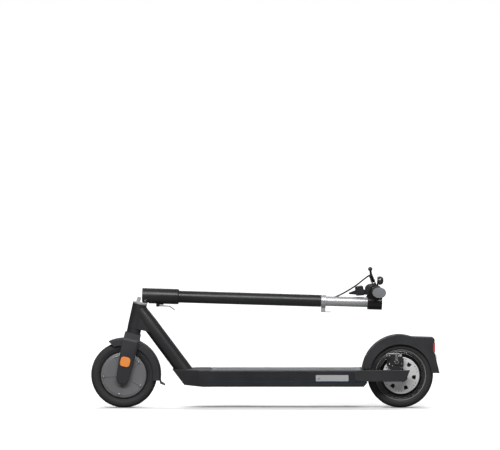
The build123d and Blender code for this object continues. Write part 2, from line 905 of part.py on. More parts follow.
# ================================================================ fold latch
latch_pivot = (31, 41)
latch_ear = 6
with BuildPart() as latch_mount:
    slab(
        stem_side,
        -latch_ear - 3,
        latch_ear + 3,
        (housing_radius - 4, 36),
        (28, 36),
        (28, 60),
        (housing_radius - 4, 60),
    )
    for side in (-1, 1):
        ear = sorted((side * latch_ear, side * (latch_ear + 3)))
        slab(
            stem_side,
            ear[0],
            ear[1],
            (27, 36),
            (34, 36),
            (35, 41),
            (34, 46),
            (27, 47),
        )
    tube(stem_plane, 30, 66, housing_radius, mode=Mode.SUBTRACT)
    tube(stem_side, -latch_ear - 3, latch_ear + 3, 1.5, centre=latch_pivot)

with BuildPart() as latch_lever:
    tube(stem_side, -latch_ear + 0.4, latch_ear - 0.4, 2.9, centre=latch_pivot)
    slab(
        stem_side,
        -latch_ear + 0.4,
        latch_ear - 0.4,
        (latch_pivot[0] - 2, 41),
        (latch_pivot[0] + 2.9, 41),
        (34, 79),
        (46, 97),
        (43.5, 99.5),
        (30.6, 81.5),
        (29.4, 50),
    )
    tube(
        stem_side,
        -latch_ear,
        latch_ear,
        1.5 + running_gap,
        centre=latch_pivot,
        mode=Mode.SUBTRACT,
    )

# ================================================================ handlebar and grips
with BuildPart() as handlebar:
    tube(bar_cross(0), -bar_width / 2 + 1, bar_width / 2 - 1, bar_radius)
    tube(bar_cross(0), -30, 30, bar_centre_radius)
    for side in (-1, 1):
        with BuildSketch(bar_cross(side * 30)) as wide:
            Circle(bar_centre_radius)
        with BuildSketch(bar_cross(side * 48)) as narrow:
            Circle(bar_radius)
        loft([wide.sketch.face(), narrow.sketch.face()])
    tube(bar_cross(0), -bar_width / 2, bar_width / 2, bar_bore, mode=Mode.SUBTRACT)

with BuildPart() as grips:
    grip_inner = bar_width / 2 - grip_length
    grip_end = bar_width / 2
    tube(bar_cross(0), grip_inner, grip_inner + 4, grip_radius + 3, bar_radius)
    tube(bar_cross(0), grip_inner + 4, grip_end - 6, grip_radius, bar_radius)
    with BuildSketch(bar_cross(grip_end - 6)):
        Ellipse(17.5, 22)
    extrude(amount=6)
    tube(bar_cross(0), grip_inner, grip_end - 1, bar_radius, mode=Mode.SUBTRACT)
    fillet(grips.faces().sort_by(Axis.Y)[-1].outer_wire().edges(), radius=1.5)
    mirror(about=Plane.XZ)

# ================================================================ brake lever and perch
drop = radians(lever_drop_angle)
lever_out = -stem_back * cos(drop) - stem_up * sin(drop)
lever_plane = Plane(origin=bar_point, x_dir=lever_out, z_dir=lever_out.cross(across))
lever_pivot = (lever_pivot_forward, -lever_pivot_side)
perch_inner = lever_pivot_side - 9
barrel_forward = lever_pivot_forward + 16
with BuildPart() as brake_perch:
    tube(bar_cross(0), -100, -86, bar_radius + 5, bar_radius)
    slab(
        lever_plane,
        -6,
        6,
        (bar_radius + 1, -100),
        (30, -100),
        (lever_pivot_forward + 8, -90),
        (barrel_forward + 5, -perch_inner - 3),
        (barrel_forward + 5, 7 - perch_inner),
        (barrel_forward - 8, 7 - perch_inner),
        (bar_radius + 1, -84),
    )
    slab(
        lever_plane,
        -lever_half - 0.4,
        lever_half + 0.4,
        (lever_pivot_forward - 9, -110),
        (80, -110),
        (80, -perch_inner),
        (lever_pivot_forward - 9, -perch_inner),
        mode=Mode.SUBTRACT,
    )
    tube(bar_cross(0), -101, -60, bar_radius, mode=Mode.SUBTRACT)
    barrel_plane = Plane(
        origin=bar_point + lever_out * barrel_forward, x_dir=lever_out, z_dir=across
    )
    tube(barrel_plane, 6 - perch_inner, 16 - perch_inner, 4.5)
    tube(lever_plane, -7.5, 7.5, 2.5, centre=lever_pivot)

with BuildPart() as brake_lever:
    tube(lever_plane, -lever_half, lever_half, 7, centre=lever_pivot)
    slab(
        lever_plane,
        -lever_half,
        lever_half,
        (lever_pivot_forward - 2, -lever_pivot_side - 5),
        (lever_pivot_forward + 14, -perch_inner - 2),
        (lever_pivot_forward + 20, -lever_pivot_side - 6),
        (64, -112),
        (73, -150),
        (lever_reach + 4, -186),
        (lever_reach - 3, -190),
        (66, -152),
        (55, -116),
    )
    with Locations(lever_plane.from_local_coords(Vector(lever_reach, -190, 0))):
        Sphere(7)
    tube(
        lever_plane,
        -lever_half,
        lever_half,
        2.5 + running_gap,
        centre=lever_pivot,
        mode=Mode.SUBTRACT,
    )

# The cable goes from the perch's barrel to the slot in the front of the upper tube.
cable_route = (
    (-89, -56.9, 733.1),
    (-89.5, -49, 731.5),
    (-86, -38, 725),
    (-75, -30, 712),
    (-58, -25, 693),
    (-42, -17, 671),
    (-27, -5, 648),
    (-18.5, -1, 632),
    (-13.5, 0.3, 620),
)
with BuildPart() as brake_cable:
    barrel_end = Vector(*stem_plane.to_local_coords(barrel_plane.offset(16 - perch_inner).origin))
    with BuildLine():
        cable_points = [barrel_end] + [Vector(point) for point in cable_route[1:]]
        cord_path([stem_plane.from_local_coords(point) for point in cable_points])
    with BuildSketch(barrel_plane.offset(16 - perch_inner)):
        Circle(cable_radius)
    sweep()

# ================================================================ bell
bell_side = -55
bell_centre = (-bar_forward - 35.2, bell_side)
bell_low = bar_height + 6
striker_pivot = (bell_centre[0] + 8, bell_side + 19)
dome_low = bell_low + 1.5
dome_height = 15
with BuildPart() as bell_dome:
    tube(stem_plane, dome_low, dome_low + dome_height, bell_radius, centre=bell_centre)
    fillet(bell_dome.faces().sort_by(Axis.X)[-1].edges(), radius=bell_radius - 3)
    tube(stem_plane, dome_low, dome_low + 4, bell_radius - 1.2, mode=Mode.SUBTRACT, centre=bell_centre)
    tube(
        stem_plane,
        dome_low,
        dome_low + dome_height - 2,
        bell_radius - 5,
        mode=Mode.SUBTRACT,
        centre=bell_centre,
    )

with BuildPart() as bell:
    tube(bar_cross(0), bell_side - 5, bell_side + 5, bar_radius + 4, bar_radius)
    tube(stem_plane, bell_low - 3, bell_low, bell_radius - 1, centre=bell_centre)
    slab(
        stem_side,
        -bell_side - 5,
        -bell_side + 5,
        (-bar_forward - bar_radius - 2, bar_height - 4),
        (bell_centre[0] + 8, bell_low - 3),
        (bell_centre[0] + 8, bell_low),
        (-bar_forward - bar_radius - 2, bell_low),
    )
    slab(
        stem_plane,
        bell_low - 3,
        bell_low,
        (bell_centre[0], bell_side + 4),
        (bell_centre[0] + 10, bell_side + 4),
        (striker_pivot[0] + 4, striker_pivot[1] + 3),
        (striker_pivot[0] - 4, striker_pivot[1] + 3),
    )
    tube(stem_plane, bell_low, bell_low + 13, 2.5, centre=bell_centre)
    tube(stem_plane, bell_low, bell_low + 5, 1.5, centre=striker_pivot)
    tube(bar_cross(0), bell_side - 6, bell_side + 6, bar_radius, mode=Mode.SUBTRACT)
    add(bell_dome.part)

with BuildPart() as bell_striker:
    tube(stem_plane, bell_low + 0.3, bell_low + 3.5, 3.4, centre=striker_pivot)
    slab(
        stem_plane,
        bell_low + 0.3,
        bell_low + 3.3,
        (striker_pivot[0] - 2, striker_pivot[1]),
        (striker_pivot[0] + 2.5, striker_pivot[1]),
        (striker_pivot[0] + 4, striker_pivot[1] + 14),
        (striker_pivot[0] - 2, striker_pivot[1] + 14),
    )
    tube(
        stem_plane,
        bell_low,
        bell_low + 4,
        1.5 + running_gap,
        centre=striker_pivot,
        mode=Mode.SUBTRACT,
    )

# ================================================================ throttle
throttle_side = 76
with BuildPart() as throttle_body:
    tube(bar_cross(0), throttle_side, throttle_side + 12, bar_radius + 6.5, bar_radius)
    fillet(
        throttle_body.edges().filter_by(GeomType.CIRCLE).sort_by(SortBy.RADIUS)[-2:],
        radius=1.5,
    )

with BuildPart() as throttle_lever:
    hub_low = throttle_side + 12.4
    tube(bar_cross(0), hub_low, hub_low + 8, bar_radius + 4.5, bar_radius + running_gap)
    slab(
        bar_cross(0, turn=-135),
        hub_low,
        hub_low + 14,
        (bar_radius + 3.5, -4),
        (32, -7),
        (37, -3),
        (33, 0),
        (bar_radius + 2.5, 4),
    )
    tube(bar_cross(0), hub_low, hub_low + 20, bar_radius + running_gap, mode=Mode.SUBTRACT)

# ================================================================ headlight
light_tilt = 10
light_centre = (-35.5, 702)
light_back = stem_back * cos(radians(light_tilt)) + stem_up * sin(radians(light_tilt))
light_plane = Plane(
    origin=stem_side.from_local_coords(Vector(*light_centre, 0)), x_dir=light_back, z_dir=-across
)
light_half = 16
with BuildPart() as headlight:
    slab(
        light_plane,
        -light_half,
        light_half,
        (-16, -13),
        (13, -13),
        (15, 13),
        (-16, 13),
        rounding=2.5,
    )
    slab(
        light_plane,
        -light_half + 3,
        light_half - 3,
        (-18, -10),
        (-12, -10),
        (-12, 10),
        (-18, 10),
        mode=Mode.SUBTRACT,
    )
    gland = Plane(
        origin=light_plane.from_local_coords(Vector(2, -12, 0)),
        x_dir=light_back,
        z_dir=light_plane.from_local_coords(Vector(2, -13, 0))
        - light_plane.from_local_coords(Vector(2, -12, 0)),
    )
    with BuildSketch(gland):
        Circle(8)
    with BuildSketch(gland.offset(24)):
        Circle(2.5)
    loft()
    slab(
        stem_side,
        -7,
        7,
        (-42, 712),
        (-25, 712),
        (-23.9, head_block_low + 3),
        (-30, head_block_low + 9),
        (-40, head_block_low + 6),
    )
    tube(stem_plane, 680, head_block_low + 12, upper_tube_radius + 0.3, mode=Mode.SUBTRACT)
    add(bar_clamp.part, mode=Mode.SUBTRACT)

with BuildPart() as headlight_lens:
    slab(
        light_plane,
        3.2 - light_half,
        light_half - 3.2,
        (-18, -9.8),
        (-12, -9.8),
        (-12, 9.8),
        (-18, 9.8),
        rounding=0.8,
    )

# ================================================================ wheels
rim_half = rim_width / 2
lip = 3
tyre_half = tyre_width / 2


def rim_barrel(hub):
    """The well of a wheel rim with its two lips."""
    spin(
        hub,
        (rim_radius - rim_wall, -rim_half),
        (rim_lip_radius, -rim_half),
        (rim_lip_radius, lip - rim_half),
        (rim_radius, lip - rim_half),
        (rim_radius, rim_half - lip),
        (rim_lip_radius, rim_half - lip),
        (rim_lip_radius, rim_half),
        (rim_radius - rim_wall, rim_half),
    )


def tyre_casing(hub):
    """A tyre whose beads sit between the rim's lips, with an air space and two tread grooves."""
    bead = rim_half - lip - 0.1
    seat = rim_radius + 0.05
    shoulder = tyre_radius - 7
    with BuildSketch(Plane(origin=hub, x_dir=(1, 0, 0), z_dir=(0, 0, 1))) as section:
        with BuildLine() as edge:
            Polyline((seat, -bead), (rim_lip_radius + 0.3, -bead), (rim_lip_radius + 0.3, -rim_half))
            ThreePointArc(
                (rim_lip_radius + 0.3, -rim_half),
                (rim_lip_radius + 12, -tyre_half),
                (shoulder, 3 - tyre_half),
            )
            ThreePointArc((shoulder, 3 - tyre_half), (tyre_radius, 0), (shoulder, tyre_half - 3))
            ThreePointArc(
                (shoulder, tyre_half - 3),
                (rim_lip_radius + 12, tyre_half),
                (rim_lip_radius + 0.3, rim_half),
            )
            Polyline((rim_lip_radius + 0.3, rim_half), (rim_lip_radius + 0.3, bead), (seat, bead))
            Line((seat, bead), (seat, -bead))
        make_face()
        with Locations((seat + 12, 0)):
            Circle(13, mode=Mode.SUBTRACT)
        for side in (-9, 9):
            with Locations((tyre_radius, side)):
                Rectangle(4.4, 2.4, mode=Mode.SUBTRACT)
    revolve(section.sketch, axis=Axis(hub, across))


stator_radius = rim_radius - rim_wall - 6
cover_bore = 12
shoulder_radius = 8
with BuildPart() as front_rim:
    rim_barrel(front_hub)

with BuildPart() as front_tyre:
    tyre_casing(front_hub)

with BuildPart() as motor_magnets:
    spin(
        front_hub,
        (stator_radius + 1, -14),
        (rim_radius - rim_wall, -14),
        (rim_radius - rim_wall, 14),
        (stator_radius + 1, 14),
    )

rib_count = 5
with BuildPart() as motor_covers:
    cover_radius = rim_radius - 1
    cover_face = rim_half + 8
    spin(
        front_hub,
        (cover_bore, -cover_face),
        (cover_radius - 8, 1 - cover_face),
        (cover_radius, 4 - cover_face),
        (cover_radius, -rim_half),
        (cover_radius - 10, -rim_half),
        (cover_radius - 12, 4 - cover_face),
        (cover_bore, 4 - cover_face),
    )
    with BuildSketch(front_side.offset(cover_face - 3)):
        with PolarLocations(0, rib_count, start_angle=40):
            with Locations((cover_radius / 2 - 2, 0)):
                SlotOverall(cover_radius - 12, 5)
            with Locations((cover_radius - 10, 0)):
                Circle(5)
    extrude(amount=3.6)
    with BuildSketch(front_side.offset(cover_face + 0.6)):
        with PolarLocations(cover_radius - 10, rib_count, start_angle=40):
            Circle(2.2)
    extrude(amount=-2, mode=Mode.SUBTRACT)
    tube(front_side, 0, 40, cover_bore, mode=Mode.SUBTRACT)
    tube(front_side, cover_face - 7, cover_face - 0.5, cover_bore, shoulder_radius + running_gap)
    mirror(about=Plane.XZ)

with BuildPart() as motor_stator:
    nut_half = leg_outer + 3.8
    tube(front_side, -nut_half - 0.4, nut_half + 0.4, front_axle_radius)
    tube(front_side, -leg_inner, leg_inner, shoulder_radius)
    tube(front_side, -12, 12, stator_radius)
    with BuildSketch(front_side.offset(-12)):
        with PolarLocations(stator_radius - 10, 18):
            Rectangle(14, 4)
    extrude(amount=24, mode=Mode.SUBTRACT)
    for side in (-1, 1):
        nut = sorted((side * leg_outer, side * nut_half))
        with BuildSketch(front_side.offset(nut[0])):
            RegularPolygon(radius=9, side_count=6)
        extrude(amount=nut[1] - nut[0])

spoke_count = 5
rear_hub_radius = 20
rear_hub_half = 30
bearing_outer = 15
rotor_seat = rotor_side - rotor_thickness / 2
with BuildPart() as rear_rim:
    rim_barrel(rear_hub)
    spin(
        rear_hub,
        (bearing_outer - 5, -4),
        (rim_radius - rim_wall, -4),
        (rim_radius - rim_wall, 4),
        (bearing_outer - 5, 4),
    )
    with BuildSketch(rear_side.offset(-4)):
        with PolarLocations(0, spoke_count):
            with BuildLine():
                Polyline((26, -8), (62, -24), (64, 0), (62, 24), (26, 8), close=True)
            make_face()
    extrude(amount=8, mode=Mode.SUBTRACT)
    tube(rear_side, -rear_hub_half, rotor_seat, rear_hub_radius)
    tube(rear_side, rotor_seat - 4, rotor_seat, rear_hub_radius + 5)
    tube(rear_side, -rear_hub_half, rotor_seat, bearing_outer - 5, mode=Mode.SUBTRACT)
    tube(rear_side, -rear_hub_half, 8 - rear_hub_half, bearing_outer, mode=Mode.SUBTRACT)
    tube(rear_side, rear_hub_half - 8, rotor_seat, bearing_outer, mode=Mode.SUBTRACT)

with BuildPart() as rear_bearings:
    for side in (-1, 1):
        ends = sorted((side * (rear_hub_half - 7.8), side * rear_hub_half))
        tube(rear_side, ends[0], ends[1], bearing_outer, rear_axle_radius + running_gap)

with BuildPart() as rear_tyre:
    tyre_casing(rear_hub)

with BuildPart() as brake_rotor:
    window_count = 10
    tube(rear_side, rotor_seat, rotor_seat + rotor_thickness, rotor_radius, bearing_outer + 0.5)
    with BuildSketch(rear_side.offset(rotor_seat)):
        with PolarLocations(0, window_count):
            with BuildLine():
                Polyline((30, 0), (45, -6.5), (45, 6.5), close=True)
            make_face()
        with PolarLocations(rotor_radius - 6, 2 * window_count, start_angle=9):
            Circle(2)
    extrude(amount=rotor_thickness, mode=Mode.SUBTRACT)
    bolt_plane = rear_side.offset(rotor_seat + rotor_thickness)
    with BuildSketch(bolt_plane):
        with PolarLocations(rear_hub_radius, 5):
            Circle(3.4)
    extrude(amount=2)

# ================================================================ rear brake
pad_height = rotor_radius - pad_inset
pad_spot = (-20, pad_height)
rotor_outer_face = rotor_seat + rotor_thickness
caliper_inner = rotor_seat - 7
caliper_outer = rotor_outer_face + 14
slot_inner = rotor_seat - 2.6
slot_outer = rotor_outer_face + 2.6
arm_pivot = (-15, pad_height - 2)
stop_spot = (-41, pad_height + 14)
with BuildPart() as brake_caliper:
    slab(
        rear_side,
        caliper_inner,
        caliper_outer,
        (-46, pad_height - 13),
        (-46, pad_height + 14),
        (-40, pad_height + 24),
        (-4, pad_height + 25),
        (8, pad_height + 10),
        (8, pad_height - 16),
        (-34, pad_height - 22),
    )
    tube(rear_side, slot_inner, slot_outer, rotor_radius + 3, mode=Mode.SUBTRACT)
    tube(rear_side, 0, slot_inner, rotor_radius - 26, mode=Mode.SUBTRACT)
    tube(
        rear_side,
        slot_outer,
        slot_outer + 5,
        pad_radius + 0.3,
        centre=pad_spot,
        mode=Mode.SUBTRACT,
    )
    slab(
        rear_side,
        caliper_outer - 4,
        arm_outer,
        (-32, arm_high - axle_z),
        (-4, arm_high - axle_z),
        (-4, pad_height - 14),
        (-32, pad_height - 14),
    )
    tube(rear_side, caliper_outer - 1, caliper_outer + 7, 4, centre=arm_pivot)
    slab(
        rear_side,
        caliper_outer - 2,
        caliper_outer + 8,
        (stop_spot[0] - 3, stop_spot[1] - 5),
        (stop_spot[0] + 3, stop_spot[1] - 5),
        (stop_spot[0] + 3, stop_spot[1] + 5),
        (stop_spot[0] - 3, stop_spot[1] + 5),
    )
    tube(rear_side, slot_inner, slot_inner + 2, pad_radius, centre=pad_spot)

with BuildPart() as moving_pad:
    tube(rear_side, rotor_outer_face + pad_travel + 0.2, slot_outer + 3.5, pad_radius, centre=pad_spot)

with BuildPart() as caliper_arm:
    arm_low_face = caliper_outer + 0.5
    tube(rear_side, arm_low_face, arm_low_face + 5, 7, centre=arm_pivot)
    slab(
        rear_side,
        arm_low_face,
        arm_low_face + 4,
        (arm_pivot[0] - 6, arm_pivot[1]),
        (arm_pivot[0] + 6, arm_pivot[1]),
        (arm_pivot[0] + 3, arm_pivot[1] + 22),
        (arm_pivot[0] - 4, arm_pivot[1] + 22),
    )
    tube(
        rear_side,
        arm_low_face,
        arm_low_face + 6,
        4 + running_gap,
        centre=arm_pivot,
        mode=Mode.SUBTRACT,
    )

# The rear cable leaves the end of the deck and runs up to the stop on the caliper.
cable_side = caliper_outer + 4
rear_route = (
    (chassis_end - rear_x, -37, 7),
    (-111, -37, 7),
    (-100, -41, 19),
    (-86, -48, 39),
    (-70, -53, 54),
    (-57, -cable_side, stop_spot[1]),
    (stop_spot[0] - 3, -cable_side, stop_spot[1]),
)
with BuildPart() as rear_brake_cable:
    rear_points = [rear_hub + Vector(point) for point in rear_route]
    with BuildLine():
        cord_path(rear_points)
    rear_start = Plane(origin=rear_points[0], z_dir=rear_points[1] - rear_points[0])
    with BuildSketch(rear_start):
        Circle(cable_radius)
    sweep()

# ================================================================ write the pieces
pieces = {
    "frame_neck": frame_neck,
    "head_bearings": head_bearings,
    "deck_nose": deck_nose,
    "deck_chassis": deck_chassis,
    "bottom_cover": bottom_cover,
    "cover_screws": cover_screws,
    "deck_mat": deck_mat,
    "led_strips": led_strips,
    "side_badges": side_badges,
    "battery_pack": battery_pack,
    "controller": controller,
    "charge_port": charge_port,
    "charge_cap": charge_cap,
    "kickstand_bracket": kickstand_bracket,
    "kickstand": kickstand,
    "rear_dropouts": rear_dropouts,
    "arm_covers": arm_covers,
    "rear_axle": rear_axle,
    "rear_mudguard": rear_mudguard,
    "tail_light": tail_light,
    "fork": fork,
    "fork_covers": fork_covers,
    "fork_reflectors": fork_reflectors,
    "front_mudguard": front_mudguard,
    "fold_base": fold_base,
    "hinge_pin": hinge_pin,
    "stem_housing": stem_housing,
    "stem_tube": stem_tube,
    "stem_collar": stem_collar,
    "bag_hook": bag_hook,
    "upper_tube": upper_tube,
    "bar_clamp": bar_clamp,
    "display": display,
    "power_button": power_button,
    "latch_mount": latch_mount,
    "latch_lever": latch_lever,
    "handlebar": handlebar,
    "grips": grips,
    "brake_perch": brake_perch,
    "brake_lever": brake_lever,
    "brake_cable": brake_cable,
    "bell": bell,
    "bell_striker": bell_striker,
    "throttle_body": throttle_body,
    "throttle_lever": throttle_lever,
    "headlight": headlight,
    "headlight_lens": headlight_lens,
    "front_rim": front_rim,
    "front_tyre": front_tyre,
    "motor_magnets": motor_magnets,
    "motor_covers": motor_covers,
    "motor_stator": motor_stator,
    "rear_rim": rear_rim,
    "rear_bearings": rear_bearings,
    "rear_tyre": rear_tyre,
    "brake_rotor": brake_rotor,
    "brake_caliper": brake_caliper,
    "moving_pad": moving_pad,
    "caliper_arm": caliper_arm,
    "rear_brake_cable": rear_brake_cable,
}
os.makedirs("parts", exist_ok=True)
for name, piece in pieces.items():
    piece.part.label = name
    export_step(piece.part, f"parts/{name}.step")
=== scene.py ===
from math import cos, pi, radians, sin

import bmesh
import bpy
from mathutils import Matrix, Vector

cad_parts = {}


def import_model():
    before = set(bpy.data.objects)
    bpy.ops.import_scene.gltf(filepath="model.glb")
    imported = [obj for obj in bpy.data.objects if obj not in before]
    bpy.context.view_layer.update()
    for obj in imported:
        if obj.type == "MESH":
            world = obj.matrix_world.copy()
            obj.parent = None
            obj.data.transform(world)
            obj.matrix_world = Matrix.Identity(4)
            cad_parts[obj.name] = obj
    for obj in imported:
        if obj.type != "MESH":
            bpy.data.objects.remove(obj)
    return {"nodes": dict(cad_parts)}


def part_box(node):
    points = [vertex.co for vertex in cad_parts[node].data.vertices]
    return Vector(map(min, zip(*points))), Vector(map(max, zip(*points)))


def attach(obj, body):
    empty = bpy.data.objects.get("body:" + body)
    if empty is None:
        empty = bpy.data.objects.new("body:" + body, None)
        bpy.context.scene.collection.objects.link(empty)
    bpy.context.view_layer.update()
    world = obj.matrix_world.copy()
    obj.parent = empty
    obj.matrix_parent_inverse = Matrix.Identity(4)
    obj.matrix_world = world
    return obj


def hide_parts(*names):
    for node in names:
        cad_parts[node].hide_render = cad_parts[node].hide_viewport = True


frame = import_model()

MM = 0.001
X_AXIS = Vector((1, 0, 0))
Y_AXIS = Vector((0, 1, 0))
Z_AXIS = Vector((0, 0, 1))
nodes = frame["nodes"]

for name in ("Cube", "Light", "Camera"):
    if name in bpy.data.objects:
        bpy.data.objects.remove(bpy.data.objects[name])
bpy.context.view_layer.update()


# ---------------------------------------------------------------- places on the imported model
def middle(node):
    """The middle of a node's box."""
    low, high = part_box(node)
    return (low + high) / 2


HEAD_ANGLE = 12.6
FOLD_ANGLE = 79.1
HINGE_OFFSET = 15
BAR_BACK = -38.6
BAR_UP = 753
LEAN_ANGLE = radians(HEAD_ANGLE + FOLD_ANGLE)
FRONT_HUB = middle("front_tyre")
REAR_HUB = middle("rear_tyre")
STEM_UP = Vector((sin(LEAN_ANGLE), 0, cos(LEAN_ANGLE)))
STEM_BACK = Vector((cos(LEAN_ANGLE), 0, -sin(LEAN_ANGLE)))
STEM_FOOT = middle("hinge_pin") - STEM_BACK * HINGE_OFFSET * MM


def on_stem(back, side, up):
    """A point given in millimetres behind, across and along the stem."""
    return STEM_FOOT + (STEM_BACK * back + Y_AXIS * side + STEM_UP * up) * MM


def about(hub, radius, angle, side):
    """A point on a wheel, in millimetres, at an angle in degrees from the rear horizontal."""
    turn = radians(angle)
    return hub + Vector((radius * cos(turn), side, radius * sin(turn))) * MM


BAR_POINT = on_stem(BAR_BACK, 0, BAR_UP)


# ---------------------------------------------------------------- node materials
class Finish:
    """A node material being made. Its textures lie in object coordinates, in metres."""

    def __init__(self, name, **constants):
        self.material = bpy.data.materials.new(name)
        self.material.use_nodes = True
        self.tree = self.material.node_tree
        self.shader = self.tree.nodes["Principled BSDF"]
        self.place = self.add("ShaderNodeTexCoord").outputs["Object"]
        for socket, value in constants.items():
            self.shader.inputs[socket.replace("_", " ")].default_value = value

    def add(self, kind, **settings):
        node = self.tree.nodes.new(kind)
        for key, value in settings.items():
            setattr(node, key, value)
        return node

    def join(self, source, target):
        """Link a socket, or set the target to a plain value."""
        if isinstance(source, bpy.types.NodeSocket):
            self.tree.links.new(source, target)
        else:
            target.default_value = source

    def maths(self, operation, *values):
        node = self.add("ShaderNodeMath", operation=operation)
        for value, target in zip(values, node.inputs):
            self.join(value, target)
        return node.outputs[0]

    def vectors(self, operation, *values):
        node = self.add("ShaderNodeVectorMath", operation=operation)
        for value, target in zip(values, node.inputs):
            self.join(value, target)
        return node.outputs["Value" if operation in ("LENGTH", "DOT_PRODUCT") else "Vector"]

    def noise(self, scale, detail=3.0, stretch=(1, 1, 1), rough=0.55):
        node = self.add("ShaderNodeTexNoise")
        self.join(self.vectors("MULTIPLY", self.place, stretch), node.inputs["Vector"])
        node.inputs["Scale"].default_value = scale
        node.inputs["Detail"].default_value = detail
        node.inputs["Roughness"].default_value = rough
        return node.outputs["Fac"]

    def cells(self, scale, feature="F1"):
        node = self.add("ShaderNodeTexVoronoi", feature=feature)
        self.join(self.place, node.inputs["Vector"])
        node.inputs["Scale"].default_value = scale
        return node.outputs["Distance"]

    def scaled(self, value, start, end, low=0.0, high=1.0):
        node = self.add("ShaderNodeMapRange", interpolation_type="SMOOTHSTEP")
        for item, target in zip((value, start, end, low, high), node.inputs):
            self.join(item, target)
        return node.outputs["Result"]

    def mixed(self, factor, first, second):
        node = self.add("ShaderNodeMix", data_type="RGBA")
        self.join(factor, node.inputs[0])
        self.join(first, node.inputs[6])
        self.join(second, node.inputs[7])
        return node.outputs[2]

    def edges(self, radius):
        """1 along sharp edges and 0 on faces, and the normal rounded over them."""
        bevel = self.add("ShaderNodeBevel", samples=4)
        bevel.inputs["Radius"].default_value = radius
        normal = bevel.outputs["Normal"]
        geometry = self.add("ShaderNodeNewGeometry")
        facing = self.vectors("DOT_PRODUCT", normal, geometry.outputs["Normal"])
        return self.scaled(facing, 0.995, 0.87), normal

    def relief(self, height, depth, normal=None):
        bump = self.add("ShaderNodeBump")
        bump.inputs["Strength"].default_value = 1.0
        bump.inputs["Distance"].default_value = depth
        self.join(height, bump.inputs["Height"])
        if normal is not None:
            self.join(normal, bump.inputs["Normal"])
        return bump.outputs["Normal"]

    def done(self, colour, roughness, normal):
        self.join(colour, self.shader.inputs["Base Color"])
        self.join(roughness, self.shader.inputs["Roughness"])
        self.join(normal, self.shader.inputs["Normal"])
        return self.material


def rgb(red, green=None, blue=None):
    """A shader colour from one or three linear values."""
    return (red, red if green is None else green, red if blue is None else blue, 1.0)


def surface(
    name,
    base,
    other,
    rough,
    grain=900,
    depth=0.00004,
    stretch=(1, 1, 1),
    edge_wear_and_highlight=None,
    edge_wear_and_highlight_share=0.35,
    rounding=0.0006,
    patch=9,
    **constants,
):
    """A finish with cloudy colour, grain in its relief and roughness, and lightened edges: partly real wear,
    partly a painted highlight along them.
    """
    finish = Finish(name, **constants)
    cloud = finish.noise(patch, 4)
    speck = finish.noise(grain, 2, stretch)
    colour = finish.mixed(finish.scaled(cloud, 0.32, 0.68), base, other)
    edge, normal = finish.edges(rounding)
    # Sharp edges are lightened towards the given colour: partly real wear, partly a painted edge highlight.
    scuff = finish.scaled(finish.noise(60, 5, rough=0.7), 0.42, 0.66)
    edge_wear_and_highlight_mask = finish.maths("MULTIPLY", finish.maths("MULTIPLY", edge, scuff), edge_wear_and_highlight_share)
    if edge_wear_and_highlight is not None:
        colour = finish.mixed(edge_wear_and_highlight_mask, colour, edge_wear_and_highlight)
    shine = finish.scaled(finish.maths("ADD", cloud, speck), 0.7, 1.35, rough - 0.06, rough + 0.08)
    shine = finish.maths("SUBTRACT", shine, finish.maths("MULTIPLY", edge_wear_and_highlight_mask, 0.12))
    return finish.done(colour, shine, finish.relief(speck, depth, normal))


def brushed(name, base, other, rough, stretch, fine=260, depth=0.000025, **constants):
    """A bare metal with a fine drawn grain."""
    return surface(
        name, base, other, rough, grain=fine, depth=depth, stretch=stretch, Metallic=1.0, **constants
    )


def turned(name, base, other, rough, hub, pitch=1400, depth=0.00001, metal=1.0):
    """A metal turned on a lathe about a wheel's axle, with fine rings."""
    finish = Finish(name, Metallic=metal)
    arm = finish.vectors("SUBTRACT", finish.place, tuple(hub))
    radius = finish.vectors("LENGTH", finish.vectors("MULTIPLY", arm, (1, 0, 1)))
    rings = finish.maths("SINE", finish.maths("MULTIPLY", radius, pitch * 2 * pi))
    cloud = finish.noise(14, 4)
    colour = finish.mixed(finish.scaled(cloud, 0.3, 0.7), base, other)
    normal = finish.edges(0.0004)[1]
    shine = finish.scaled(cloud, 0.3, 0.7, rough - 0.05, rough + 0.07)
    return finish.done(colour, shine, finish.relief(rings, depth, normal))


def powder_coat(name, base, other):
    """Satin dark powder coat with a fine orange peel."""
    return surface(name, base, other, 0.38, grain=1500, depth=0.00005, edge_wear_and_highlight=rgb(0.16), edge_wear_and_highlight_share=0.3)


def moulded(name, base, other, rough=0.5):
    """Injection-moulded plastic with spark-eroded grain."""
    return surface(name, base, other, rough, grain=2200, depth=0.00006, edge_wear_and_highlight=rgb(0.2), edge_wear_and_highlight_share=0.25)


def rubber(name, base, other, rough=0.72):
    """Soft rubber with specks of dust and a dull bloom."""
    return surface(name, base, other, rough, grain=1300, depth=0.00008, edge_wear_and_highlight=rgb(0.1), edge_wear_and_highlight_share=0.3)


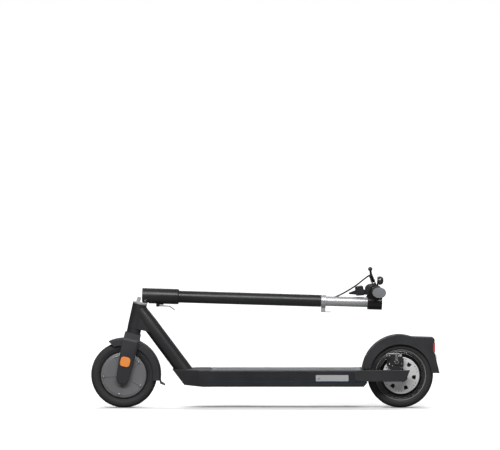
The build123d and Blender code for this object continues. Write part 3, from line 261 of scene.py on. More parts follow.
def tyre_rubber(name, hub, band):
    """Tyre rubber: a dull sidewall, a dusty tread and, on one wheel, a pale band on the sidewall painted in
    as a highlight.
    """
    finish = Finish(name)
    arm = finish.vectors("SUBTRACT", finish.place, tuple(hub))
    radius = finish.vectors("LENGTH", finish.vectors("MULTIPLY", arm, (1, 0, 1)))
    cloud = finish.noise(22, 5)
    speck = finish.noise(1100, 3)
    fresh = rgb(0.022, 0.022, 0.0235)
    faded = rgb(0.032, 0.0315, 0.0315)
    colour = finish.mixed(finish.scaled(cloud, 0.35, 0.7), fresh, faded)
    crown = finish.scaled(radius, 0.1, 0.1075)
    dust = finish.maths("MULTIPLY", crown, finish.scaled(cloud, 0.4, 0.7))
    colour = finish.mixed(finish.maths("MULTIPLY", dust, 0.55), colour, rgb(0.085, 0.081, 0.076))
    # The pale band is a painted highlight on the rear sidewall, not a colour of the rubber.
    if band:
        inner = finish.scaled(radius, 0.0796, 0.0802)
        outer = finish.scaled(radius, 0.0832, 0.0838, 1.0, 0.0)
        colour = finish.mixed(finish.maths("MULTIPLY", inner, outer), colour, rgb(0.19, 0.19, 0.195))
    shine = finish.scaled(finish.maths("ADD", cloud, speck), 0.7, 1.3, 0.6, 0.82)
    return finish.done(colour, shine, finish.relief(speck, 0.00009))


def gritty_mat(name):
    """Gritty rubber of the deck mat, its base a pale grey that paints in the sheen of grazing light on the
    dark rubber.
    """
    finish = Finish(name)
    speck = finish.noise(1600, 3)
    cloud = finish.noise(7, 5)
    grit = finish.cells(900)
    # Both base greys are a painted sheen: lighter than the rubber itself, standing in for grazing light.
    dark = rgb(0.20, 0.205, 0.215)
    pale = rgb(0.26, 0.265, 0.275)
    colour = finish.mixed(finish.scaled(cloud, 0.35, 0.7), dark, pale)
    colour = finish.mixed(finish.scaled(grit, 0.2, 0.75, 0.0, 0.35), colour, rgb(0.05))
    shine = finish.scaled(speck, 0.3, 0.7, 0.66, 0.86)
    return finish.done(colour, shine, finish.relief(grit, 0.00022, finish.relief(speck, 0.00006)))


def prismatic(name, base, other, cell=620, **constants):
    """A clear or coloured lens with corner prisms behind its face."""
    finish = Finish(name, **constants)
    prism = finish.cells(cell)
    cloud = finish.noise(40, 3)
    colour = finish.mixed(finish.scaled(prism, 0.1, 0.7), base, other)
    shine = finish.scaled(cloud, 0.3, 0.7, 0.12, 0.24)
    return finish.done(colour, shine, finish.relief(prism, 0.0002))


def smoked_panel(name, base, other, rough=0.1):
    """Glossy smoked plastic with faint smears."""
    finish = Finish(name, Coat_Weight=0.5, Coat_Roughness=0.06)
    smear = finish.noise(30, 6, (1, 2.5, 1), 0.7)
    colour = finish.mixed(finish.scaled(smear, 0.35, 0.7), base, other)
    shine = finish.scaled(smear, 0.3, 0.75, rough, rough + 0.16)
    normal = finish.edges(0.0005)[1]
    return finish.done(colour, shine, finish.relief(finish.noise(500), 0.00001, normal))


def copper_core(name):
    """Stacked laminations with copper windings between them."""
    finish = Finish(name, Metallic=0.9)
    layer = finish.maths("SINE", finish.vectors("DOT_PRODUCT", finish.place, (0, 9000, 0)))
    strand = finish.noise(300, 3, (1, 6, 1))
    colour = finish.mixed(finish.scaled(strand, 0.4, 0.6), rgb(0.30, 0.29, 0.28), rgb(0.45, 0.2, 0.09))
    shine = finish.scaled(strand, 0.3, 0.7, 0.35, 0.55)
    return finish.done(colour, shine, finish.relief(layer, 0.00005))


def anodised(name, base, other, rough=0.44):
    """Satin anodised alloy, drawn along the stem."""
    return surface(
        name,
        base,
        other,
        rough,
        grain=900,
        depth=0.000003,
        stretch=(0.06, 1.6, 1.6),
        edge_wear_and_highlight=rgb(0.8),
        Metallic=0.7,
    )


def material_library():
    """Every slot's finish, and those of the pieces that the slots don't cover."""
    dark = rgb(0.007)
    return {
        "frame_paint": powder_coat("frame_paint", rgb(0.018, 0.0185, 0.020), rgb(0.025, 0.0255, 0.027)),
        "stem_paint": powder_coat("stem_paint", rgb(0.013, 0.0135, 0.0145), rgb(0.019, 0.0195, 0.021)),
        "deck_paint": powder_coat("deck_paint", rgb(0.018, 0.019, 0.021), rgb(0.025, 0.026, 0.029)),
        "silver_metal": anodised("silver_metal", rgb(0.60, 0.605, 0.615), rgb(0.56, 0.565, 0.575)),
        "bare_metal": turned("bare_metal", rgb(0.62, 0.63, 0.65), rgb(0.54, 0.55, 0.57), 0.26, REAR_HUB),
        "steel": brushed("steel", rgb(0.56, 0.56, 0.57), rgb(0.48, 0.48, 0.49), 0.3, (1, 1, 1)),
        "black_metal": surface(
            "black_metal", dark, rgb(0.012), 0.34, grain=1200, depth=0.00003, edge_wear_and_highlight=rgb(0.3), edge_wear_and_highlight_share=0.3
        ),
        "black_plastic": moulded("black_plastic", rgb(0.012, 0.012, 0.0135), rgb(0.018, 0.018, 0.02)),
        "grey_plastic": moulded("grey_plastic", rgb(0.030, 0.031, 0.033), rgb(0.040, 0.041, 0.044), 0.42),
        "grip_rubber": rubber("grip_rubber", rgb(0.016), rgb(0.024)),
        "mat_rubber": gritty_mat("mat_rubber"),
        "tyre_rubber": tyre_rubber("tyre_rubber", FRONT_HUB, False),
        "orange_reflector": prismatic("orange_reflector", rgb(0.98, 0.26, 0.04), rgb(1.0, 0.36, 0.09), 900),
        "red_lens": prismatic("red_lens", rgb(0.62, 0.03, 0.03), rgb(0.74, 0.05, 0.045), Coat_Weight=0.6),
        "clear_lens": prismatic("clear_lens", rgb(0.62, 0.65, 0.67), rgb(0.85, 0.87, 0.88), Coat_Weight=0.8),
        "led_lens": smoked_panel("led_lens", rgb(0.008, 0.022, 0.042), rgb(0.012, 0.034, 0.06)),
        "badge_plate": surface(
            "badge_plate",
            rgb(0.60, 0.605, 0.615),
            rgb(0.53, 0.535, 0.545),
            0.4,
            grain=260,
            depth=0.000025,
            stretch=(0.05, 1, 2),
            edge_wear_and_highlight=rgb(0.8),
            Metallic=0.3,
        ),
        "display_face": smoked_panel("display_face", rgb(0.008), rgb(0.014)),
        "battery_wrap": surface(
            "battery_wrap", rgb(0.02, 0.08, 0.26), rgb(0.03, 0.1, 0.3), 0.34, grain=300, depth=0.0001
        ),
        "motor_core": copper_core("motor_core"),
        "brake_pad": surface("brake_pad", rgb(0.12, 0.09, 0.07), rgb(0.18, 0.14, 0.1), 0.8, grain=800),
        "cable_jacket": surface(
            "cable_jacket", rgb(0.014), rgb(0.021), 0.42, grain=700, depth=0.00003, rounding=0.0002
        ),
        "grip_cap": moulded("grip_cap", rgb(0.19, 0.2, 0.21), rgb(0.225, 0.235, 0.245), 0.5),
        "rear_tyre_rubber": tyre_rubber("rear_tyre_rubber", REAR_HUB, True),
        "rotor_steel": turned("rotor_steel", rgb(0.93), rgb(0.82), 0.36, REAR_HUB, 1900, 0.000008, 0.35),
        "lever_metal": surface(
            "lever_metal", rgb(0.026, 0.026, 0.028), rgb(0.036, 0.036, 0.038), 0.34, edge_wear_and_highlight=rgb(0.4)
        ),
        "display_marks": smoked_panel("display_marks", rgb(0.55, 0.72, 0.8), rgb(0.62, 0.8, 0.86), 0.2),
        "cover_plastic": moulded(
            "cover_plastic", rgb(0.165, 0.166, 0.172), rgb(0.2, 0.201, 0.208), 0.34
        ),
        "rim_black": surface("rim_black", rgb(0.010), rgb(0.016), 0.3, edge_wear_and_highlight=rgb(0.4), edge_wear_and_highlight_share=0.5),
        "ring_black": surface("ring_black", rgb(0.012), rgb(0.018), 0.26, edge_wear_and_highlight=rgb(0.5), edge_wear_and_highlight_share=0.8),
        "screw_steel": brushed("screw_steel", rgb(0.5), rgb(0.4), 0.3, (1, 1, 1)),
        "screw_black": surface("screw_black", rgb(0.02), rgb(0.03), 0.34, edge_wear_and_highlight=rgb(0.35), edge_wear_and_highlight_share=0.6),
    }


materials = material_library()


# ---------------------------------------------------------------- mesh helpers
def axes(axis):
    """Two directions square to an axis."""
    axis = axis.normalized()
    seed = Z_AXIS if abs(axis.z) < 0.9 else X_AXIS
    first = seed.cross(axis).normalized()
    return first, axis.cross(first), axis


def hexagon(radius):
    """The radius of a hexagon, corner to centre, at any angle."""
    return lambda turn: radius * cos(pi / 6) / cos(turn % (pi / 3) - pi / 6)


class Shape:
    """Rings of points joined into one closed mesh, in millimetres about places in metres."""

    def __init__(self):
        self.mesh = bmesh.new()

    def rings(self, rings, closed=False):
        made = [[self.mesh.verts.new(point) for point in ring] for ring in rings]
        pairs = list(zip(made, made[1:]))
        if closed:
            pairs.append((made[-1], made[0]))
        for low, high in pairs:
            for i, corner in enumerate(low):
                j = (i + 1) % len(low)
                self.mesh.faces.new((corner, low[j], high[j], high[i]))
        if not closed:
            self.mesh.faces.new(made[0][::-1])
            self.mesh.faces.new(made[-1])

    def lathe(self, centre, axis, profile, count=32, closed=False, ratio=1.0, lead=None):
        """Turn (radius, height) pairs about an axis. A radius may be a function of the angle."""
        first, second, up = axes(axis)
        if lead is not None:
            first, second = lead
        made = []
        for radius, height in profile:
            ring = []
            for i in range(count):
                turn = 2 * pi * i / count
                reach = radius(turn) if callable(radius) else radius
                around = first * cos(turn) + second * sin(turn) * ratio
                ring.append(centre + (around * reach + up * height) * MM)
            made.append(ring)
        self.rings(made, closed)

    def prism(self, points, direction, amount, rim=0.4):
        """A plate with an eased front edge, from an outline in metres and a thickness in mm."""
        middle_point = sum(points, Vector()) / len(points)
        step = direction.normalized() * MM
        inset = [p + (middle_point - p).normalized() * rim * MM for p in points]
        levels = (
            points,
            [p + step * (amount - rim) for p in points],
            [p + step * amount for p in inset],
        )
        self.rings(levels)

    def done(self, name, finish, slot, body, smooth=32):
        """Turn the rings into a piece that rides on a body."""
        bmesh.ops.recalc_face_normals(self.mesh, faces=self.mesh.faces)
        data = bpy.data.meshes.new(name)
        self.mesh.to_mesh(data)
        self.mesh.free()
        data.shade_smooth()
        data.set_sharp_from_angle(angle=radians(smooth))
        data.materials.append(materials[finish])
        piece = bpy.data.objects.new(name, data)
        bpy.context.scene.collection.objects.link(piece)
        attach(piece, body)
        return piece


def screw(shape, centre, axis, radius=3.0, height=1.6):
    """A button-head screw with a hexagon socket."""
    socket = hexagon(radius * 0.5)
    shape.lathe(
        centre,
        axis,
        (
            (radius * 0.96, -0.8),
            (radius, height * 0.2),
            (radius * 0.93, height * 0.62),
            (radius * 0.74, height * 0.92),
            (radius * 0.6, height),
            (socket, height),
            (socket, height * 0.25),
        ),
        count=24,
    )


def screws(name, body, places, finish="screw_steel", radius=3.0, height=1.6):
    """A set of screws on one body, from (centre, axis) pairs."""
    shape = Shape()
    for centre, axis in places:
        screw(shape, centre, axis, radius, height)
    slot = "steel" if finish == "screw_steel" else "black_metal"
    return shape.done(name, finish, slot, body)


def eased_box(shape, low, high, ease):
    """A box between two corners with eased edges along its depth."""
    middle_point = (low + high) / 2
    half = (high - low) / 2
    made = []
    for depth, inset in ((-1, ease), (-1 + ease / half.x, 0), (1 - ease / half.x, 0), (1, ease)):
        ring = []
        for across, up, start in ((1, 1, 0), (-1, 1, 90), (-1, -1, 180), (1, -1, 270)):
            for step in range(5):
                turn = radians(start + step * 22.5)
                side = across * (half.y - ease) + (ease - inset * 0.6) * cos(turn)
                rise = up * (half.z - ease) + (ease - inset * 0.6) * sin(turn)
                ring.append(middle_point + Vector((depth * half.x, side, rise)))
        made.append(ring)
    shape.rings(made)


# ---------------------------------------------------------------- finishes on the CAD nodes
OVERRIDES = {
    "bell": "lever_metal",
    "brake_caliper": "lever_metal",
    "brake_lever": "lever_metal",
    "brake_perch": "lever_metal",
    "rear_rim": "rim_black",
    "motor_covers": "cover_plastic",
}


def paint_nodes():
    """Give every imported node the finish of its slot."""
    for node, piece in nodes.items():
        for holder in piece.material_slots:
            slot = holder.name.split(".")[0]
            holder.material = materials[OVERRIDES.get(node, slot)]


# ---------------------------------------------------------------- tyres
TYRE_SEGMENTS = 720
SHOULDER_RADIUS = 104
SHOULDER_SIDE = 10.3
SHOULDER_EDGE = 24
SHOULDER_PITCH = 18
SHOULDER_GAP = 3
SHOULDER_DEPTH = 1.6
SIPE_RADIUS = 107.2
SIPE_SIDE = 8
SIPE_PITCH = 36
SIPE_GAP = 2
SIPE_DEPTH = 1.2
SIPE_STAGGER = 9
BAND_INNER = 79.8
BAND_OUTER = 83
KNURL_PITCH = 4
KNURL_STEP = 1.018
TYRE_HALF = (
    (75.1, 17.8),
    (79.4, 17.8),
    (79.4, 20.6),
    (80.0, 21.3),
    (81.4, 21.9),
    (82.9, 22.4),
    (83.4, 22.0),
    (84.1, 22.2),
    (84.9, 23.2),
    (88.0, 24.4),
    (91.0, 24.9),
    (94.2, 24.8),
    (94.8, 24.2),
    (95.6, 24.1),
    (96.3, 24.3),
    (98.6, 23.5),
    (101.0, 22.2),
    (102.6, 20.7),
    (104.2, 18.4),
    (105.5, 15.8),
    (106.5, 12.8),
    (107.1, 10.4),
    (105.6, 10.0),
    (105.6, 8.2),
    (107.5, 7.8),
    (107.85, 4.6),
    (107.3, 1.1),
    (107.3, 0.0),
)


def tyre(name, node, hub, body, finish, knurled):
    """A tyre with beads, ringed sidewalls, shoulder blocks and a ribbed crown."""
    whole = [(r, -y) for r, y in TYRE_HALF] + [(r, y) for r, y in reversed(TYRE_HALF[:-1])]
    made = []
    for radius, side in whole:
        ring = []
        outer = abs(side)
        lean = int((SHOULDER_EDGE - outer) / SHOULDER_DEPTH)
        stagger = SIPE_STAGGER if side > 0 else 0
        shoulder = radius > SHOULDER_RADIUS and outer > SHOULDER_SIDE
        crown = radius > SIPE_RADIUS and outer < SIPE_SIDE
        band = knurled and BAND_INNER < radius < BAND_OUTER
        for i in range(TYRE_SEGMENTS):
            reach = radius
            across = side
            if shoulder and (i + lean) % SHOULDER_PITCH < SHOULDER_GAP:
                reach -= SHOULDER_DEPTH
            if crown and (i + stagger) % SIPE_PITCH < SIPE_GAP:
                reach -= SIPE_DEPTH
            if band and i % KNURL_PITCH < KNURL_PITCH // 2:
                across = side * KNURL_STEP
            turn = 2 * pi * i / TYRE_SEGMENTS
            ring.append(hub + Vector((reach * cos(turn), across, reach * sin(turn))) * MM)
        made.append(ring)
    shape = Shape()
    shape.rings(made, closed=True)
    piece = shape.done(name, finish, "tyre_rubber", body, smooth=38)
    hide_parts(node)


def valve(name, hub, body, angle):
    """A tyre valve through the rim's well, with its cap."""
    shape = Shape()
    start = about(hub, 69.0, angle, 12.5)
    inward = (hub - about(hub, 69.0, angle, 0)).normalized()
    shape.lathe(
        start,
        inward,
        ((3.6, -0.5), (3.6, 1.5), (2.7, 3), (2.6, 9), (3.0, 9.4), (3.0, 14.6), (2.2, 15.4)),
        count=20,
    )
    return shape.done(name, "cable_jacket", "cable_jacket", body)


# ---------------------------------------------------------------- wheel details
RIB_ANGLES = [40 + 72 * i for i in range(5)]
ROTOR_RADIUS = 60
ROTOR_BORE = 15.5
ROTOR_THICKNESS = 2.0
ROTOR_FACE_DEPTH = 3 * MM
WINDOW_COUNT = 6
WINDOW_START = -8
WINDOW_OUTLINE = ((38.0, -5.5), (48.5, -7.5), (49.5, 0), (48.5, 7.5), (38.0, 5.5), (35.5, 0))
VENT_CIRCLE = 54
VENT_RADIUS = 1.7
VENT_OFFSETS = (20, 30, 40)


def motor_cover_rings():
    """A thin ring let into the slope of each motor cover."""
    shape = Shape()
    for side in (-1, 1):
        profile = ((70.2, 25.6), (70.4, 26.9), (71.0, 27.1), (71.9, 26.7), (72.1, 25.0))
        shape.lathe(FRONT_HUB, Y_AXIS * side, profile, count=160, closed=True)
    return shape.done("motor_cover_rings", "grip_cap", "grey_plastic", "front_wheel")


def motor_cover_screws():
    """A screw at the end of each rib, on both covers."""
    places = [
        (about(FRONT_HUB, 64, angle, side * 29.4), Y_AXIS * side)
        for side in (-1, 1)
        for angle in RIB_ANGLES
    ]
    return screws("motor_cover_screws", "front_wheel", places, radius=3.0, height=1.3)


def rear_rim_rings():
    """The stepped black face of the rear rim, on both sides."""
    shape = Shape()
    for side in (-1, 1):
        profile = (
            (68.3, 20.5),
            (68.3, 21.6),
            (69.0, 22.0),
            (71.6, 22.0),
            (72.2, 21.4),
            (74.2, 21.3),
            (74.7, 21.9),
            (75.4, 22.2),
            (77.6, 22.1),
            (78.6, 21.5),
            (78.7, 20.5),
        )
        shape.lathe(REAR_HUB, Y_AXIS * side, profile, count=160, closed=True)
    return shape.done("rear_rim_rings", "ring_black", "black_metal", "rear_wheel")


def rear_rim_lines():
    """Two thin bright beads on the rear rim's face."""
    shape = Shape()
    for side in (-1, 1):
        for radius, height in ((70.3, 21.95), (76.4, 22.12)):
            profile = (
                (radius - 0.5, height - 0.3),
                (radius - 0.3, height + 0.25),
                (radius + 0.3, height + 0.25),
                (radius + 0.5, height - 0.3),
            )
            shape.lathe(REAR_HUB, Y_AXIS * side, profile, count=160, closed=True)
    return shape.done("rear_rim_lines", "screw_steel", "bare_metal", "rear_wheel")


def rim_web():
    """The black web that closes the rear rim behind the brake disc."""
    shape = Shape()
    profile = (
        (19.8, -2.4),
        (19.8, 2.4),
        (24, 2.6),
        (60, 3.2),
        (68.1, 3.6),
        (68.1, -3.6),
        (60, -3.2),
        (24, -2.6),
    )
    shape.lathe(REAR_HUB, Y_AXIS, profile, count=120, closed=True)
    return shape.done("rear_rim_web", "rim_black", "bare_metal", "rear_wheel")


def circle_points(radius, count, centre=(0, 0)):
    """Points round a circle, in millimetres."""
    return [
        (centre[0] + radius * cos(2 * pi * i / count), centre[1] + radius * sin(2 * pi * i / count))
        for i in range(count)
    ]


def plate(name, loops, thickness, ease, place, finish, body):
    """A flat plate facing left, from an outline and its holes, in millimetres about a place."""
    curve = bpy.data.curves.new(name, "CURVE")
    curve.dimensions = "2D"
    curve.fill_mode = "BOTH"
    curve.extrude = (thickness / 2 - ease) * MM
    curve.bevel_depth = ease * MM
    curve.bevel_resolution = 1
    for points in loops:
        spline = curve.splines.new("POLY")
        spline.points.add(len(points) - 1)
        spline.use_cyclic_u = True
        for item, (x, z) in zip(spline.points, points):
            item.co = (x * MM, z * MM, 0, 1)
    sketch = bpy.data.objects.new(name + "_sketch", curve)
    bpy.context.scene.collection.objects.link(sketch)
    data = bpy.data.meshes.new_from_object(
        sketch.evaluated_get(bpy.context.evaluated_depsgraph_get())
    )
    bpy.data.objects.remove(sketch)
    bpy.data.curves.remove(curve)
    for vertex in data.vertices:
        x, z, y = vertex.co
        vertex.co = place + Vector((x, -y, z))
    made = bmesh.new()
    made.from_mesh(data)
    bmesh.ops.remove_doubles(made, verts=made.verts, dist=1e-6)
    bmesh.ops.recalc_face_normals(made, faces=made.faces)
    made.to_mesh(data)
    made.free()
    data.name = name
    data.shade_smooth()
    data.set_sharp_from_angle(angle=radians(30))
    data.materials.clear()
    data.materials.append(materials[finish])
    piece = bpy.data.objects.new(name, data)
    bpy.context.scene.collection.objects.link(piece)
    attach(piece, body)
    return piece


def rotor():
    """The brake disc: a bright ring with six dark windows, vents and bolts."""
    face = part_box("brake_rotor")[0].y + ROTOR_FACE_DEPTH
    loops = [circle_points(ROTOR_RADIUS, 180), circle_points(ROTOR_BORE, 60)]
    for i in range(WINDOW_COUNT):
        turn = radians(WINDOW_START + 360 / WINDOW_COUNT * i)
        loops.append(
            [
                (r * cos(turn) - t * sin(turn), r * sin(turn) + t * cos(turn))
                for r, t in WINDOW_OUTLINE
            ]
        )
        for offset in VENT_OFFSETS:
            vent = turn + radians(offset)
            centre = (VENT_CIRCLE * cos(vent), VENT_CIRCLE * sin(vent))
            loops.append(circle_points(VENT_RADIUS, 16, centre))
    piece = plate(
        "rotor",
        loops,
        ROTOR_THICKNESS,
        0.25,
        Vector((REAR_HUB.x, face, REAR_HUB.z)),
        "rotor_steel",
        "rear_wheel",
    )
    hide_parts("brake_rotor")
    places = [(about(REAR_HUB, 20, 72 * i, -36.0), -Y_AXIS) for i in range(5)]
    screws("rotor_bolts", "rear_wheel", places, "screw_black", 3.4, 1.9)


# ---------------------------------------------------------------- grips
GRIP_LEAD = (STEM_UP, -STEM_BACK)
OVAL_RATIO = 17.5 / 22
RIB_START = 112.0
RIB_END = 198
RIB_PITCH = 3.5


def grip(name, side):
    """One grip: an inner flange, a ringed hand hold and an oval end."""
    ribs = [(17.9, 104), (18.4, 104.6), (18.4, 107.4), (17.6, 108.2), (15.4, 109.6)]
    place = RIB_START
    while place < RIB_END:
        ribs += [(15.45, place), (15.5, place + 1.9), (14.7, place + 2.3), (14.7, place + 3.1)]
        place += RIB_PITCH
    ribs += [(15.5, place + 0.4), (15.5, 206), (16.2, 208.4)]
    shape = Shape()
    bore = [(11.2, 208.4), (11.2, 104)]
    out = Y_AXIS * side
    shape.lathe(BAR_POINT, out, ribs + bore, count=72, closed=True, lead=GRIP_LEAD)
    oval = ((20.4, 208.2), (21.6, 208.9), (22.0, 210), (22.0, 213.2), (21.7, 214.0), (21.2, 214.2))
    shape.lathe(BAR_POINT, out, oval, count=96, ratio=OVAL_RATIO, lead=GRIP_LEAD)
    return shape.done(name, "grip_rubber", "grip_rubber", "stem")


def grip_cap(name, side):
    """The grey oval plug in the end of a grip."""
    shape = Shape()
    oval = ((21.0, 213.9), (21.0, 214.5), (20.6, 214.9), (19.6, 214.98), (8.0, 214.99))
    shape.lathe(
        BAR_POINT, Y_AXIS * side, oval, count=96, ratio=OVAL_RATIO, lead=GRIP_LEAD
    )
    return shape.done(name, "grip_cap", "grey_plastic", "stem")


def grips():
    """Both grips and their plugs."""
    left = grip("grip_left", -1)
    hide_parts("grips")
    grip("grip_right", 1)
    grip_cap("grip_cap_left", -1)
    grip_cap("grip_cap_right", 1)


# ---------------------------------------------------------------- rear brake details
def caliper_bracket():
    """The bright bracket over the caliper, with its turned-down ends."""
    shape = Shape()
    for low, high in (
        ((-43, 69.8), (-5, 72.2)),
        ((-47.5, 58), (-45.2, 71)),
        ((-6, 62), (2, 69)),
        ((-30, 26), (-26, 33)),
    ):
        corner_low = REAR_HUB + Vector((low[0], 0, low[1])) * MM
        corner_high = REAR_HUB + Vector((high[0], 0, high[1])) * MM
        corner_low.y = REAR_HUB.y - 50.6 * MM
        corner_high.y = REAR_HUB.y - 40 * MM
        eased_box(shape, corner_low, corner_high, 0.0006)
    shape.done("caliper_bracket", "badge_plate", "steel", "frame")
    places = [
        (REAR_HUB + Vector((x, -50.0, z)) * MM, -Y_AXIS)
        for x, z in ((-38, 64), (-8, 64), (-38, 38), (2, 38))
    ]
    screws("caliper_bolts", "frame", places, "screw_steel", 3.0, 1.7)


# ---------------------------------------------------------------- stem details
def stem_gasket():
    """The dark gasket in the top of the housing."""
    shape = Shape()
    profile = ((19.9, 106.5), (19.9, 109.4), (22.2, 109.6), (23.4, 108.9), (23.6, 106.5))
    shape.lathe(STEM_FOOT, STEM_UP, profile, count=96, closed=True)
    return shape.done("stem_gasket", "grip_rubber", "black_plastic", "stem")


def stem_screws():
    """A small screw on each side of the housing, near the hinge pin."""
    places = []
    for side in (-1, 1):
        outward = (STEM_BACK * 0.745 + Y_AXIS * side * 0.667).normalized()
        places.append((on_stem(18.6, side * 16.7, 20), outward))
    return screws("housing_screws", "stem", places, "screw_steel", 1.7, 0.6)


def bell_bands():
    """Two thin bright bands round the bell's dome."""
    shape = Shape()
    foot = on_stem(-73.8, -55, 760.5)
    for height, reach in ((1.6, 14.0), (5.0, 13.95)):
        profile = (
            (reach - 0.4, height - 0.7),
            (reach + 0.35, height - 0.45),
            (reach + 0.35, height + 0.45),
            (reach - 0.4, height + 0.7),
        )
        shape.lathe(foot, STEM_UP, profile, count=64, closed=True)
    return shape.done("bell_bands", "screw_steel", "steel", "stem")


def display_marks():
    """A row of charge bars and a ring on the display's face."""
    shape = Shape()
    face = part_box("display")[1].x
    rise = (face - STEM_FOOT.x) / MM / STEM_UP.x
    centre = on_stem(0, 0, rise)
    for i in range(5):
        place = centre + (STEM_BACK * -9 + Y_AXIS * (i - 2) * 3.6 - STEM_UP * 0.3) * MM
        half = 1.2 * MM
        corners = [
            place + Y_AXIS * across * half + STEM_BACK * back * half * 0.8
            for across, back in ((1, 1), (-1, 1), (-1, -1), (1, -1))
        ]
        shape.prism(corners, STEM_UP, 0.35, 0.1)
    ring = ((5.0, -0.5), (5.0, 0.05), (5.5, 0.08), (6.0, 0.05), (6.0, -0.5))
    shape.lathe(centre, STEM_UP, ring, count=48, closed=True)
    return shape.done("display_marks", "display_marks", "display_face", "stem")


def clamp_screws():
    """Four screws that close the handlebar clamp."""
    places = []
    for side in (-9, 9):
        for up in (-7.7, 7.7):
            places.append((on_stem(BAR_BACK - 19.4, side, BAR_UP + up), -STEM_BACK))
    return screws("clamp_screws", "stem", places, "screw_black", 2.7, 1.6)


def collar_screws():
    """A screw on each side of the collar."""
    places = [(on_stem(0, side * 20.2, 584.5), Y_AXIS * side) for side in (-1, 1)]
    return screws("collar_screws", "stem", places, "screw_steel", 2.3, 0.9)


def badge_screws():
    """The round screw at the front end of each side badge."""
    low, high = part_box("side_badges")
    inset = (high.z - low.z) / 2
    places = [
        (Vector((low.x + inset, side * 76.3 * MM, (low.z + high.z) / 2)), Y_AXIS * side)
        for side in (-1, 1)
    ]
    return screws("badge_screws", "frame", places, "screw_steel", 3.2, 1.0)


def tail_lamp():
    """The red lamp, which wraps round the mudguard's rear corners."""
    low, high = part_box("tail_light")
    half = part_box("rear_mudguard")[1].y + 0.0005
    shape = Shape()
    eased_box(
        shape, Vector((high.x - 0.0068, -half, low.z)), Vector((high.x, half, high.z)), 0.0012
    )
    piece = shape.done("tail_lamp", "red_lens", "red_lens", "frame")
    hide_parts("tail_light")


def rear_reflector():
    """A clear reflector on the mudguard's slope under the lamp."""
    low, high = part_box("tail_light")
    foot = Vector((high.x + 0.003, 0, low.z - 0.024))
    head = Vector((high.x + 0.0006, 0, low.z - 0.009))
    along = (head - foot).normalized()
    outward = along.cross(Y_AXIS).normalized()
    if outward.x < 0:
        outward = -outward
    reach = 0.030
    corner = 0.003
    outline = []
    for across, up, start in ((1, 1, 0), (-1, 1, 90), (-1, -1, 180), (1, -1, 270)):
        for step in range(7):
            turn = radians(start + step * 15)
            side = across * (reach - corner) + corner * cos(turn)
            rise = up * ((head - foot).length / 2 - corner) + corner * sin(turn)
            outline.append((head + foot) / 2 + Y_AXIS * side + along * rise)
    shape = Shape()
    shape.prism(outline, outward, 3.4, 0.6)
    return shape.done("rear_reflector", "clear_lens", "clear_lens", "frame")


# ---------------------------------------------------------------- stage, lights and camera
CAMERA_PLACE = (-0.0492, -6.8, 0.599)
CAMERA_LENS = 149.13
CAMERA_SENSOR = 36
CAMERA_REACH = 200
FLOOR_REACH = 60
SURROUND_STRENGTH = 0.09


def floor():
    """A pale studio floor, lit near the object and bright further off."""
    finish = Finish("floor_pale")
    radius = finish.vectors("LENGTH", finish.place)
    far = finish.scaled(radius, 1.2, 5.0)
    cloud = finish.noise(2, 3)
    pale = finish.mixed(finish.scaled(cloud, 0.3, 0.7), rgb(0.9), rgb(0.93))
    seen = finish.add("ShaderNodeLightPath").outputs["Is Camera Ray"]
    colour = finish.mixed(seen, rgb(0.18), pale)
    finish.join(rgb(1.0), finish.shader.inputs["Emission Color"])
    glow = finish.maths("MULTIPLY", seen, finish.maths("ADD", far, 0.12))
    finish.join(glow, finish.shader.inputs["Emission Strength"])
    finish.shader.inputs["Specular IOR Level"].default_value = 0.0
    shine = finish.scaled(cloud, 0.3, 0.7, 0.85, 0.95)
    material = finish.done(colour, shine, finish.relief(finish.noise(400), 0.00001))
    data = bpy.data.meshes.new("floor")
    corners = ((-1, -1), (1, -1), (1, 1), (-1, 1))
    data.from_pydata(
        [(FLOOR_REACH * x, FLOOR_REACH * y, 0) for x, y in corners],
        [],
        [(0, 1, 2, 3)],
    )
    data.materials.append(material)
    plane = bpy.data.objects.new("floor", data)
    bpy.context.scene.collection.objects.link(plane)


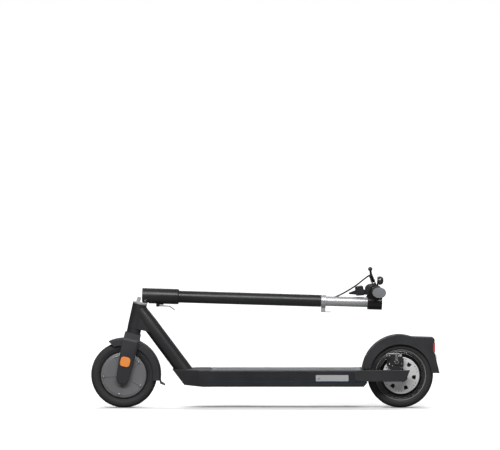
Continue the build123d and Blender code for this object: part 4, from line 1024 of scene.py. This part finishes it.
def softbox(name, place, target, width, height, power, mirrored=True):
    """One large soft light aimed at a point. One that isn't mirrored leaves no highlight."""
    data = bpy.data.lights.new(name, "AREA")
    data.shape = "RECTANGLE"
    data.size = width
    data.size_y = height
    data.energy = power
    lamp = bpy.data.objects.new(name, data)
    lamp.location = place
    lamp.visible_glossy = mirrored
    lamp.rotation_euler = (Vector(target) - Vector(place)).to_track_quat("-Z", "Y").to_euler()
    bpy.context.scene.collection.objects.link(lamp)


def world(strength):
    """A white surround: full white to the camera and softer to the object."""
    made = bpy.data.worlds.new("studio")
    bpy.context.scene.world = made
    made.use_nodes = True
    tree = made.node_tree
    back = tree.nodes["Background"]
    back.inputs["Color"].default_value = rgb(1.0)
    path = tree.nodes.new("ShaderNodeLightPath")
    span = tree.nodes.new("ShaderNodeMapRange")
    span.inputs["To Min"].default_value = strength
    span.inputs["To Max"].default_value = 1.0
    tree.links.new(path.outputs["Is Camera Ray"], span.inputs["Value"])
    tree.links.new(span.outputs["Result"], back.inputs["Strength"])


def camera():
    """The camera, square on to the left side."""
    data = bpy.data.cameras.new("camera")
    data.lens = CAMERA_LENS
    data.sensor_width = CAMERA_SENSOR
    data.clip_end = CAMERA_REACH
    eye = bpy.data.objects.new("camera", data)
    eye.location = CAMERA_PLACE
    eye.rotation_euler = (radians(90), 0, 0)
    bpy.context.scene.collection.objects.link(eye)
    bpy.context.scene.camera = eye


def studio():
    """Floor, lights, surround and camera."""
    floor()
    world(SURROUND_STRENGTH)
    aim = (0, 0, 0.2)
    softbox("key", (-0.3, -2.5, 2.5), aim, 3.6, 0.7, 120)
    softbox("overhead", (0.1, 0.5, 2.9), aim, 3.4, 1.3, 85, False)
    softbox("behind", (0.4, 3.0, 2.2), aim, 3.2, 1.0, 26)
    camera()
    bpy.context.scene.view_settings.view_transform = "Standard"


paint_nodes()
tyre("tyre_front", "front_tyre", FRONT_HUB, "front_wheel", "tyre_rubber", False)
tyre("tyre_rear", "rear_tyre", REAR_HUB, "rear_wheel", "rear_tyre_rubber", True)
valve("valve_rear", REAR_HUB, "rear_wheel", 70)
motor_cover_rings()
motor_cover_screws()
rear_rim_rings()
rear_rim_lines()
rim_web()
rotor()
caliper_bracket()
grips()
stem_gasket()
stem_screws()
bell_bands()
display_marks()
clamp_screws()
collar_screws()
badge_screws()
tail_lamp()
rear_reflector()
studio()
